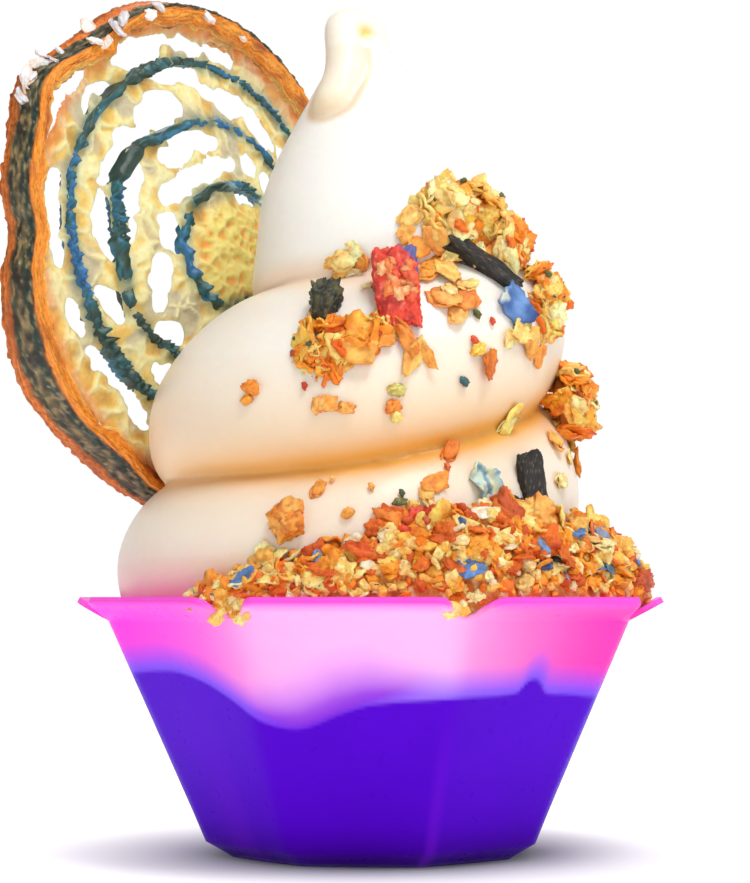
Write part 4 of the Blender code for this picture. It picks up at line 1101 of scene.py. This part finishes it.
def mottled(low, high, base, gain, fine, spots, spot_fine, less, more, squeeze=1.0):
    """A rule for a colour: two tones mixed by noise, with spots of a third."""

    def colour_of(at):
        at = Vector((at.x * squeeze, at.y * squeeze, at.z))
        high_share = base + gain * noise(at * fine)
        return coated(seen(low), (high, high_share), (spots, (noise(at * spot_fine) - less) * more))

    return colour_of


chewy = food_finish(
    "dried_red_fruit", 0.38, 0.5, grain=0.18, bump_mm=0.09, **soft(0.3, (1.0, 0.25, 0.15), 1.2)
)
crusty = food_finish("dark_crust", 0.40, 0.4, grain=0.25, bump_mm=0.10)
petal_paint = food_finish(
    "petal", 0.42, 0.5, grain=0.12, bump_mm=0.05, **soft(0.25, (0.6, 0.8, 1.0), 0.8)
)
flaky_paint = food_finish(
    "flaky_pastry", 0.42, 0.55, grain=0.18, bump_mm=0.10, **soft(0.2, (1.0, 0.7, 0.4), 0.8)
)
black = mottled(0x0E0A09, 0x322418, 0.1, 1.5, 4, 0x706854, 9, 0.36, 5, 2.6)

piece_rng = random.Random(31)
for row in (
    # piece, slot, node, material; place on the swirl (turns, share, how upright); size in mm;
    # spin in degrees, how far it is lifted in mm, form and colours
    ("red_fruit", "dried_red_fruit", "red_fruit_piece", chewy, (0.762, 0.80, 0.75),
     (6.6, 13.0, 4.6), 5, -1.0, block_form(piece_rng, 26, 0.22, 0.13), red_colour),
    ("bumpy_dark_crumb", "dark_crust", "dark_crumb", crusty, (0.704, 0.77, 0.5),
     (5.8, 7.6, 4.4), -12, -0.9, crumb_form(piece_rng, 5, 0.22, -0.75),
     mottled(0x222016, 0x585434, 0.4, 1.8, 4, 0x687454, 10, 0.2, 3)),
    ("black_strip", "dark_crust", "dark_strip", crusty, (0.852, 0.90, 0.6),
     (13.6, 3.0, 3.0), -38, -0.7, block_form(piece_rng, 22, 0.24, 0.10, stretch=1.0), black),
    ("curled_blue_petal", "blue_petal", "blue_petal", petal_paint, (0.868, 0.68, 0.5),
     (9.0, 7.4, 5.0), -34, -1.4, flake_form(piece_rng, 16, thick=0.13, curl=0.55, wobble=0.16),
     blue_colour),
    ("black_shard", "dark_crust", "black_sheet", crusty, (-0.112, 0.64, 0.8),
     (5.6, 10.6, 1.7), 4, -0.7, block_form(piece_rng, 20, 0.12, 0.06), black),
    ("crumpled_pale_petal", "pale_petal", "pale_petal", petal_paint, (-0.156, 0.69, 0.7),
     (5.6, 7.4, 4.0), 10, -1.2, flake_form(piece_rng, 14, thick=0.14, curl=0.3, wobble=0.42),
     mottled(0xBED6CE, 0xECEABE, 0.5, 1.8, 2.6, 0x749EB6, 4, 0.10, 4)),
    ("orange_nugget", "flaky_pastry", "pastry_nugget", flaky_paint, (-0.288, 0.65, 0.4),
     (7.2, 6.6, 4.4), 0, -1.0, crumb_form(piece_rng, 4, 0.34, 0.8),
     mottled(0xF08E20, 0xFCB856, 0.4, 1.6, 3.4, 0xC45C14, 7, 0.12, 3)),
):
    single(*row)


# The broken pastry on the swirl: piles of flaky shards, toasted from cream to deep orange,
# with specks of green and red, thrown on while the yogurt is soft so that they stick to it.
PASTRY_TONES = (
    0xFFCE74, 0xFFB84C, 0xFFA430, 0xFA8E1E,
    0xFFE4A2, 0xE87014, 0xFFC460, 0xFF9A26,
    0xFFD684, 0xD85E14,
)
CLUSTERS = (
    # name, node, flakes, longest flake in mm, toast, lumps (middle and half sizes in mm)
    ("pastry_on_peak", "flakes_on_peak", 92, 9, (1.05, 1, 0.9),
     (((12.8, -17, 103.2), (8.6, 4.4, 6.8)), ((19.8, -15, 98.6), (4.6, 4.6, 6.4)))),
    ("pastry_on_front", "flakes_on_front", 84, 7.5, (1, 0.84, 0.5),
     (((-7.5, -30.6, 79.6), (5.2, 3.8, 6)), ((-1.8, -30.2, 82.4), (5.6, 3.4, 3)))),
    ("pastry_on_edge", "flakes_on_edge", 52, 7, (1.1, 1.06, 1),
     (((26.9, -13.8, 89.6), (3.8, 4.6, 6.8)),)),
    ("pastry_on_side", "flakes_on_side", 54, 7.5, (1.05, 0.96, 0.8),
     (((32, -4, 74.6), (4.4, 5.2, 6.4)),)),
)
pastry_rng = random.Random(12)
flake_forms = [flake_form(pastry_rng, 14, 1, 0.07) for _ in range(5)]
flake_forms += [flake_form(pastry_rng, 11, 2, 0.06) for _ in range(4)]
flake_forms += [flake_form(pastry_rng, 10, 3, 0.05) for _ in range(2)]
crumb_forms = [crumb_form(pastry_rng, 4, 0.46, 0.7) for _ in range(5)]
speck_form = crumb_form(pastry_rng, 3, 0.7)


def stuck(form, place, out, size, spin, colour):
    """One bit of topping, as a form with its matrix and colour."""
    matrix = laid(place, out, spin) @ Matrix.Diagonal((*[value * MM for value in size], 1))
    return form, matrix, colour


def tilted(rng, out, by):
    aside = Vector((rng.uniform(-1, 1), rng.uniform(-1, 1), rng.uniform(-1, 1)))
    return (out + by * aside).normalized()


for name, cad_node, count, longest, toast, lumps in CLUSTERS:
    items = []
    whole = sum(half[2] for _, half in lumps)
    for middle, half in lumps:
        middle, half = Vector(middle) * MM, Vector(half)
        matrix = Matrix.Translation(middle) @ Matrix.Diagonal((*(1.62 * MM * half), 1))
        items.append((pastry_rng.choice(crumb_forms), matrix, seen(0xD68232)))
        away = Vector((middle.x, middle.y, 0)).normalized()
        for number in range(round(count * half.z / whole)):
            aim = (any_way(pastry_rng) + 0.55 * away).normalized()
            place = middle + Vector([a * h * 0.86 * MM for a, h in zip(aim, half)])
            length = longest * pastry_rng.uniform(0.42, 1.0)
            tone = seen(pastry_rng.choice(PASTRY_TONES[:9])) * toast
            if number % 6 == 5:
                form, size = pastry_rng.choice(crumb_forms), [length * 0.5] * 3
            else:
                form = pastry_rng.choice(flake_forms)
                size = (length, length * pastry_rng.uniform(0.5, 0.85), length * 0.9)
            turned = tilted(pastry_rng, aim, 0.42)
            items.append(stuck(form, place, turned, size, pastry_rng.uniform(0, TURN), tone))
            if number % 7 == 3:
                speck = pastry_rng.choice((0x60683C, 0x4E5838, 0xAA4A14))
                spot = middle + Vector([a * h * 1.04 * MM for a, h in zip(aim, half)])
                items.append(stuck(speck_form, spot, aim, (1.5, 1.0, 0.9), number, seen(speck)))
    heaped(name, items, "flaky_pastry", flaky_paint, cad_node)

SCATTERED = (
    # turns, share, length, width in mm, spin in degrees, how much it stands out, colour
    (1.7, 0.1, 5.4, 4.4, 20, 0.5, 0xFDD886), (1.694, 0.06, 5, 3.6, 70, 0.6, 0xF6AC4A),
    (1.707, 0.13, 4.4, 3, 120, 0.7, 0xFFE096), (1.712, 0.08, 4.2, 3.4, 150, 0.6, 0xF09C38),
    (1.685, 0.09, 3.4, 2.6, 30, 0.6, 0xFABE60), (1.716, 0.05, 3.8, 2.6, 60, 0.7, 0xE28C2E),
    (1.702, 0.03, 5.4, 1.6, 0, 0.3, 0xFFECB4), (1.775, 0.23, 5, 3.6, 30, 0.5, 0xFFC86E),
    (1.765, 0.17, 4.2, 3.4, 70, 0.4, 0xFAAA4C), (1.782, 0.1, 5.4, 4, 10, 0.5, 0xFCA03C),
    (1.802, 0.13, 6, 4.6, 120, 0.5, 0xFFB254), (0.798, 0.95, 6.4, 4.8, 50, 0.4, 0xFA9C32),
    (0.811, 0.88, 6.6, 5.2, 80, 0.4, 0xFFBE60), (0.811, 0.78, 4.4, 3.4, 10, 0.4, 0xFFD68C),
    (0.79, 0.9, 5, 4, 60, 0.4, 0xF8A43E), (0.828, 0.8, 4.6, 3.6, 30, 0.4, 0xFFCE78),
    (0.758, 0.95, 4.4, 3.6, 40, 0.6, 0xE27828), (0.77, 0.92, 3.8, 3, 80, 0.6, 0xD86822),
    (0.778, 0.955, 3.4, 2.6, 10, 0.5, 0xF0A046), (0.738, 0.86, 4.6, 1.8, 0, 0.3, 0xFCE2A0),
    (0.742, 0.56, 8.4, 5.4, -20, 0.5, 0xF0A846), (0.755, 0.6, 7, 4.4, 10, 0.4, 0xEC9636),
    (0.778, 0.58, 7.6, 2.6, -60, 0.4, 0xE4862C), (0.788, 0.51, 7.6, 3.4, 60, 0.5, 0xF4B054),
    (0.796, 0.5, 6.4, 2.2, -62, 0.5, 0xEEA042), (0.806, 0.74, 6.6, 4.6, -20, 0.5, 0xF6A850),
    (0.824, 0.72, 5.4, 4.2, 30, 0.4, 0xF08C36), (0.816, 0.66, 4.6, 3.4, 60, 0.3, 0xF4B460),
    (0.849, 0.44, 6, 3.6, 65, 0.4, 0xD4701E), (0.838, 0.5, 3.2, 2.2, 40, 0.3, 0xF6C854),
    (0.88, 0.55, 7.4, 5, 10, 0.5, 0xF8CC74), (0.892, 0.5, 6, 4.2, 80, 0.6, 0xF2AA48),
    (0.87, 0.52, 4.4, 3.6, 30, 0.4, 0xFAD88C), (0.905, 0.42, 5, 3.2, 75, 0.4, 0xEC9638),
    (0.889, 0.09, 8.2, 3.6, 78, 0.5, 0xF8D66E), (0.885, 0.03, 6.4, 3, 60, 0.5, 0xE2CE82),
    (0.672, 0.44, 3.2, 2.6, 15, 0.5, 0xEE8E24), (0.669, 0.4, 2.4, 2, 50, 0.5, 0xF49C32),
    (0.73, 0.36, 4.4, 3.2, 0, 0.4, 0xEE9C40), (0.724, 0.35, 2.8, 2.2, 70, 0.4, 0xF4B05A),
    (0.743, 0.33, 2.8, 2.2, 0, 0.4, 0xECA44C), (0.779, 0.38, 3.2, 2, 10, 0.3, 0xCEC46E),
    (0.778, 0.31, 2.8, 2.4, 60, 0.4, 0xEC8C30), (0.781, 0.26, 2.6, 2, 0, 0.3, 0xFAD678),
    (-0.271, 0.82, 3.6, 2.2, 60, 0.3, 0xEC963C), (-0.251, 0.67, 2.6, 2, 60, 0.3, 0xF2A648),
    (-0.217, 0.69, 2.2, 1.4, 10, 0.3, 0x787C46), (-0.208, 0.66, 2.8, 1.8, 20, 0.3, 0xF6C464),
    (-0.173, 0.92, 5, 2.6, 70, 0.4, 0xE47822), (-0.189, 0.75, 5.4, 4, 20, 0.4, 0xEE9636),
    (-0.198, 0.71, 3.4, 2.6, 90, 0.4, 0xF6B65A), (-0.305, 0.51, 4.2, 3.6, 50, 0.3, 0xFFE29C),
    (-0.06, 0.8, 5, 3.4, 60, 0.5, 0xF0B054), (-0.045, 0.7, 4.4, 3, 20, 0.5, 0xFAD682),
    (-0.02, 0.66, 5.2, 3.6, 80, 0.5, 0xEC9638), (0, 0.74, 5, 3.4, 30, 0.5, 0xF6C86E),
    (0.02, 0.8, 4.6, 3.2, 60, 0.5, 0xE88A2E), (-0.075, 0.62, 4, 2.8, 0, 0.5, 0xFADE96),
    (-0.15, 0.6, 3.4, 2.6, 0, 0.4, 0xFAE28C),
)
ON_STRIP = (
    # turns, share, length in mm, spin in degrees, colour
    (0.834, 0.985, 6.4, 20, 0xFFB854), (0.85, 0.955, 5.4, 70, 0xFFD68C),
    (0.863, 0.925, 4.4, 110, 0xFA9634), (0.824, 0.99, 5, 50, 0xFFCE78),
)
SPECKS = (
    # turns, share, size in mm, colour
    (0.828, 0.38, 2, 0x346068), (0.832, 0.55, 1.7, 0xDE542E), (0.848, 0.62, 1.4, 0xD24C24),
    (0.833, 0.66, 1.7, 0x545C22), (0.715, 0.52, 2, 0xCE3020), (0.722, 0.6, 1.8, 0xD83C28),
    (0.712, 0.44, 1.4, 0xBE321E), (0.78, 0.66, 1.8, 0x604A8C), (0.743, 0.84, 2.2, 0x784824),
    (-0.215, 0.74, 1.4, 0x465C3C), (-0.18, 0.84, 1.5, 0xD26E32), (-0.235, 0.8, 1.5, 0xF0A854),
    (-0.262, 0.88, 1.2, 0xF4BA6E), (-0.095, 0.5, 1.8, 0x426096),
)
items = []
for turns, share, length, width, spin, stand, tone in SCATTERED:
    place, out = on_swirl(turns, share)
    form = pastry_rng.choice(flake_forms[:9] if length > 3.2 else crumb_forms)
    turned = tilted(pastry_rng, out, 0.7 * stand)
    place = place + out * 0.12 * length * MM
    size = (length, width, 0.6 * length)
    items.append(stuck(form, place, turned, size, radians(spin), seen(tone)))
for turns, share, length, spin, tone in ON_STRIP:
    place, out = on_swirl(turns, share, 0.6)
    size = (length, 0.6 * length, 0.6 * length)
    place = place + 2.2 * MM * out
    items.append(stuck(flake_forms[spin % 9], place, out, size, radians(spin), seen(tone)))
for turns, share, size, tone in SPECKS:
    place, out = on_swirl(turns, share)
    place = place + out * 0.4 * MM
    items.append(stuck(speck_form, place, out, (size, size * 0.8, size * 0.7), size, seen(tone)))
RED_CRUMBS = (0xF09660, 0xF68242, 0xFAB078, 0xEC603C)
place, out = on_swirl(0.762, 0.80, 0.75)
red_frame = laid(place + out * 1.3 * MM, out, radians(5))
for _ in range(30):
    spot = Vector([pastry_rng.uniform(*span) for span in ((-2.4, 2.6), (-1.6, 4.6), (1.5, 2.4))])
    tone = seen(pastry_rng.choice(RED_CRUMBS))
    size = pastry_rng.uniform(1.3, 2.6)
    place = red_frame @ (spot * MM)
    items.append(stuck(speck_form, place, out, (size, size, 0.8 * size), 9 * size, tone))
heaped("pastry_bits_on_swirl", items, "flaky_pastry", flaky_paint, "yogurt")


# The heap of crushed pastry along the rim: crumbs and flakes of the same pastry, with dried
# red fruit, blue petals and dark crust among them. It lies on a core of finer crumbs.
HEAP_CREST = (
    # direction in degrees, height of the crest above the rim in mm
    (230, 1), (238, 3.4), (250, 7.2), (264, 10), (278, 12.6), (292, 14), (306, 15.2), (318, 14),
    (332, 12), (346, 9.6), (360, 7.8), (378, 4.8), (398, 1),
)
HEAP_SECTION = (
    # share of the way out, apothem in mm, share of the crest's rise
    (0, 31, 0.9), (0.25, 35.5, 1), (0.5, 40.2, 0.86), (0.75, 43.4, 0.55), (1, 45.6, 0.1),
)
HEAP_UNDERSIDE = (44.4, 31.0)
FIRST, LAST = HEAP_CREST[0][0], HEAP_CREST[-1][0]


def within_lip(apothem, angle):
    """Keeps an apothem in mm inside the lip, which is narrow at its notches."""
    return min(apothem, 42.4 + 4.2 * lip_share(angle))


def heap_point(degrees, share, inset=1.1):
    """A point on the heap from the swirl (0) over the crest down to the rim (1)."""
    crest = follow(HEAP_CREST, degrees)[0]
    apothem, rise = follow(HEAP_SECTION, share)
    angle = radians(degrees)
    radius = eight_sided((within_lip(apothem, angle) - inset) * MM, angle)
    return polar(radius, angle, (42 + rise * crest - inset) * MM)


def core_point(along, around):
    """A point on the heap's core and its colour: over the heap, then back underneath it."""
    degrees = FIRST + (LAST - FIRST) * along
    angle = radians(degrees)
    around *= 7
    if around <= 4:
        point = heap_point(degrees, around / 4)
        grit = noise(point * 420) + 0.7 * noise(point * 900)
        point += Vector((point.x, point.y, 0.05)).normalized() * 0.9 * MM * grit
    else:
        ends = [heap_point(degrees, 1.0)]
        for apothem in HEAP_UNDERSIDE:
            radius = eight_sided((within_lip(apothem, angle) - 1.2) * MM, angle)
            ends.append(polar(radius, angle, 39.6 * MM))
        ends.append(heap_point(degrees, 0.0))
        leg = min(2, int(around - 4))
        point = ends[leg].lerp(ends[leg + 1], around - 4 - leg)
    return point, coated(
        seen(0xC4641A),
        (0xFAB050, 0.5 + 1.4 * noise(point * 600)),
        (0xFFDEA0, (noise(point * 1300) - 0.2) * 3),
    )


core_bm = swept(core_point, 260, 34, 0.02 * MM)
core = new_piece("fine_crumbs", core_bm, "crushed_pastry", "crumb_heap")
crushed_paint = food_finish(
    "crushed_pastry", 0.46, 0.5, grain=0.2, bump_mm=0.12, **soft(0.2, (1.0, 0.7, 0.4), 0.7)
)
core.data.materials.append(crushed_paint)

heap_rng = random.Random(5)
small_flakes = [flake_form(heap_rng, 7, 1, 0.11) for _ in range(7)]
small_flakes += [flake_form(heap_rng, 6, 2, 0.09) for _ in range(3)]
small_crumbs = [crumb_form(heap_rng, 2, 0.50) for _ in range(9)]
chunk_forms = [crumb_form(heap_rng, 4, 0.55, 0.9) for _ in range(6)]


def strewn(
    count, forms, lengths, lift, tones=PASTRY_TONES, shares=(0.02, 1.0),
    flat=(0.7, 1.0), where=(FIRST, LAST),
):
    """Many bits of one kind, spread evenly over the heap and pressed a little into it."""
    bits = []
    for number in range(count):
        along = (number + heap_rng.random()) / count
        degrees = where[0] + (where[1] - where[0]) * along
        outward = (number * 0.618 + 0.3 * heap_rng.random()) % 1.0
        share = shares[0] + (shares[1] - shares[0]) * outward
        spot = heap_point(degrees, share)
        out = Vector((spot.x, spot.y, 1.1 * Vector((spot.x, spot.y, 0)).length)).normalized()
        length = heap_rng.uniform(*lengths) * (1 - 1.2 * max(0.0, share - 0.8))
        size = (length, length * heap_rng.uniform(0.6, 0.9), length * heap_rng.uniform(*flat))
        tone = seen(heap_rng.choice(tones)) * heap_rng.uniform(0.85, 1.1)
        place = spot + out * heap_rng.uniform(*lift) * MM * (1 - 2 * max(0.0, share - 0.8))
        turned = tilted(heap_rng, out, 0.8)
        form, spin = heap_rng.choice(forms), heap_rng.uniform(0, TURN)
        bits.append(stuck(form, place, turned, size, spin, tone))
    return bits


def placed(degrees, share, lift, form, size, spin, lean, tone):
    """One bit of the heap that has a place of its own."""
    spot = heap_point(degrees, share)
    out = Vector((spot.x, spot.y, lean * Vector((spot.x, spot.y, 0)).length)).normalized()
    return stuck(form, spot + out * lift * MM, out, size, radians(spin), seen(tone))


CREAMS = (0xFFECC8, 0xFFE2B2, 0xF6D8B0)
LOW, LUMPY = (0.6, 1.0), (0.7, 0.95)
crumbs = strewn(480, small_crumbs, (1.4, 3.6), (-0.2, 1.2), flat=LOW)
crumbs += strewn(420, small_crumbs, (1.6, 3.6), (0.0, 1.0), shares=(0.62, 1.0), flat=LOW)
crumbs += strewn(40, small_crumbs, (1.2, 2.6), (0.4, 1.4), CREAMS, flat=LOW)
for corner in (242, 287):
    for _ in range(16):
        low = Vector((0, 0, -heap_rng.uniform(0.0, 2.8) * MM))
        form, matrix, tone = placed(
            corner + heap_rng.uniform(-3.4, 3.4), 1.0, 0.2, heap_rng.choice(small_crumbs),
            [heap_rng.uniform(1.8, 3.0)] * 3, 0, 0.5, heap_rng.choice(PASTRY_TONES),
        )
        crumbs.append((form, Matrix.Translation(low) @ matrix, tone))
heap_crumbs = heaped("pastry_crumbs", crumbs, "crushed_pastry", crushed_paint, "crumb_heap")
heap_crumbs.data.shade_flat()

chunks = strewn(30, chunk_forms, (3.6, 6.0), (-0.2, 0.9), shares=(0.05, 0.85), flat=LUMPY)
chunks += strewn(22, chunk_forms, (3.4, 5.4), (0.2, 1.0), shares=(0.55, 0.92), flat=LUMPY)
chunks += [placed(*row) for row in (
    (311, 0.45, 1.0, chunk_forms[1], (7.0, 7.0, 5.8), 20, 0.6, 0xFCAA4E),
    (302, 0.42, 0.8, chunk_forms[2], (4.0, 8.4, 4.4), 0, 0.6, 0xC8541E),
    (246, 0.42, 0.8, chunk_forms[3], (6.0, 6.4, 5.2), 0, 0.6, 0xFFBE5A),
    (275, 0.34, 1.0, chunk_forms[4], (7.4, 5.2, 4.6), 0, 0.5, 0xF69238),
    (234, 0.60, 0.8, chunk_forms[5], (5.6, 6.4, 5.0), 0, 0.5, 0xFFA83C),
)]
heaped("pastry_chunks", chunks, "crushed_pastry", crushed_paint, "crumb_heap")

flakes = strewn(190, small_flakes, (2.6, 5.4), (0.2, 1.5))
flakes += strewn(150, small_flakes, (2.6, 5.0), (0.5, 1.6), shares=(0.6, 0.97))
flakes += strewn(36, small_flakes, (2.4, 4.6), (0.6, 1.8), CREAMS, (0.05, 0.88))
flakes += strewn(40, flake_forms, (4.5, 7.5), (0.6, 1.8), shares=(0.05, 0.84), flat=(0.7, 0.9))
flakes += [placed(*row) for row in (
    (262, 0.84, 1.2, flake_forms[3], (9.0, 6.0, 8.0), 10, 0.3, 0xFFCE6E),
    (268, 0.66, 1.8, flake_forms[6], (7.0, 3.0, 6.0), -25, 0.4, 0xE4601E),
    (250, 0.84, 1.0, flake_forms[1], (5.0, 3.0, 5.0), 60, 0.3, 0xD6D8A0),
    (334, 0.35, 1.6, flake_forms[2], (9.4, 8.0, 9.0), 50, 0.5, 0xFAD068),
    (338, 0.42, 1.6, flake_forms[4], (6.4, 5.0, 6.0), 20, 0.4, 0xF4B04A),
    (297, 0.30, 2.0, flake_forms[0], (5.0, 4.4, 5.0), 0, 0.4, 0xFCE2AA),
    (294, 0.42, 1.8, flake_forms[1], (4.0, 2.6, 4.0), 0, 0.5, 0xFCEED6),
)]
heaped("pastry_flakes", flakes, "crushed_pastry", crushed_paint, "crumb_heap")

REDS = (0xE24C30, 0xC43A20, 0xEE6A42, 0xCE5C30)
reds = strewn(14, small_crumbs, (1.4, 3.0), (0.5, 1.5), REDS, (0.15, 0.5), LOW, (270, 292))
reds += strewn(12, small_crumbs, (1.3, 2.4), (0.5, 1.4), REDS, flat=LOW)
reds += [placed(*row) for row in (
    (284, 0.35, 1.2, crumb_forms[0], (5.4, 3.4, 3.4), 20, 0.5, 0xDE422C),
    (279, 0.30, 1.2, crumb_forms[2], (4.2, 3.0, 3.0), 70, 0.5, 0xE8543A),
    (336, 0.88, 0.8, crumb_forms[2], (6.6, 4.0, 3.4), 0, 0.5, 0xBE5428),
)]
heaped("red_fruit_bits", reds, "dried_red_fruit", chewy, "crumb_heap")

BLUES = (0x587AB0, 0x466496, 0x7090C0, 0x547488, 0x8A98B6)
blues = strewn(22, small_flakes, (1.6, 3.2), (0.8, 1.6), BLUES)
blues += strewn(12, small_flakes, (2.2, 4.0), (1.0, 2.0), BLUES, where=(300, 345))
for degrees, share, size in (
    (287.5, 0.86, (6.2, 4.2, 5.0)), (244, 0.66, (5.4, 3.6, 4.4)), (256, 0.36, (4.4, 4.4, 4.2)),
    (313, 0.20, (5.6, 4.8, 4.6)), (317, 0.26, (4.6, 3.8, 4.0)), (233, 0.72, (3.6, 2.4, 3.0)),
    (258, 0.62, (2.8, 2.0, 2.4)), (324, 0.5, (3.6, 2.8, 3.0)),
):
    blues.append(placed(degrees, share, 1.9, heap_rng.choice(flake_forms[:5]), size,
                        heap_rng.uniform(0, 90), 0.5, heap_rng.choice(BLUES[:3])))
heaped("blue_petal_bits", blues, "blue_petal", petal_paint, "crumb_heap")

DARKS = (0x28281E, 0x3A3C28, 0x1E2C2C, 0x503822)
darks = strewn(14, small_crumbs, (1.2, 2.2), (0.5, 1.4), DARKS, flat=LOW)
darks.append(placed(309, 0.22, 1.8, crumb_forms[3], (3.2, 2.4, 2.6), 0, 0.5, DARKS[2]))
heaped("dark_crust_bits", darks, "dark_crust", crusty, "crumb_heap")
for form in [mesh for mesh in bpy.data.meshes if mesh.users == 0]:
    bpy.data.meshes.remove(form)
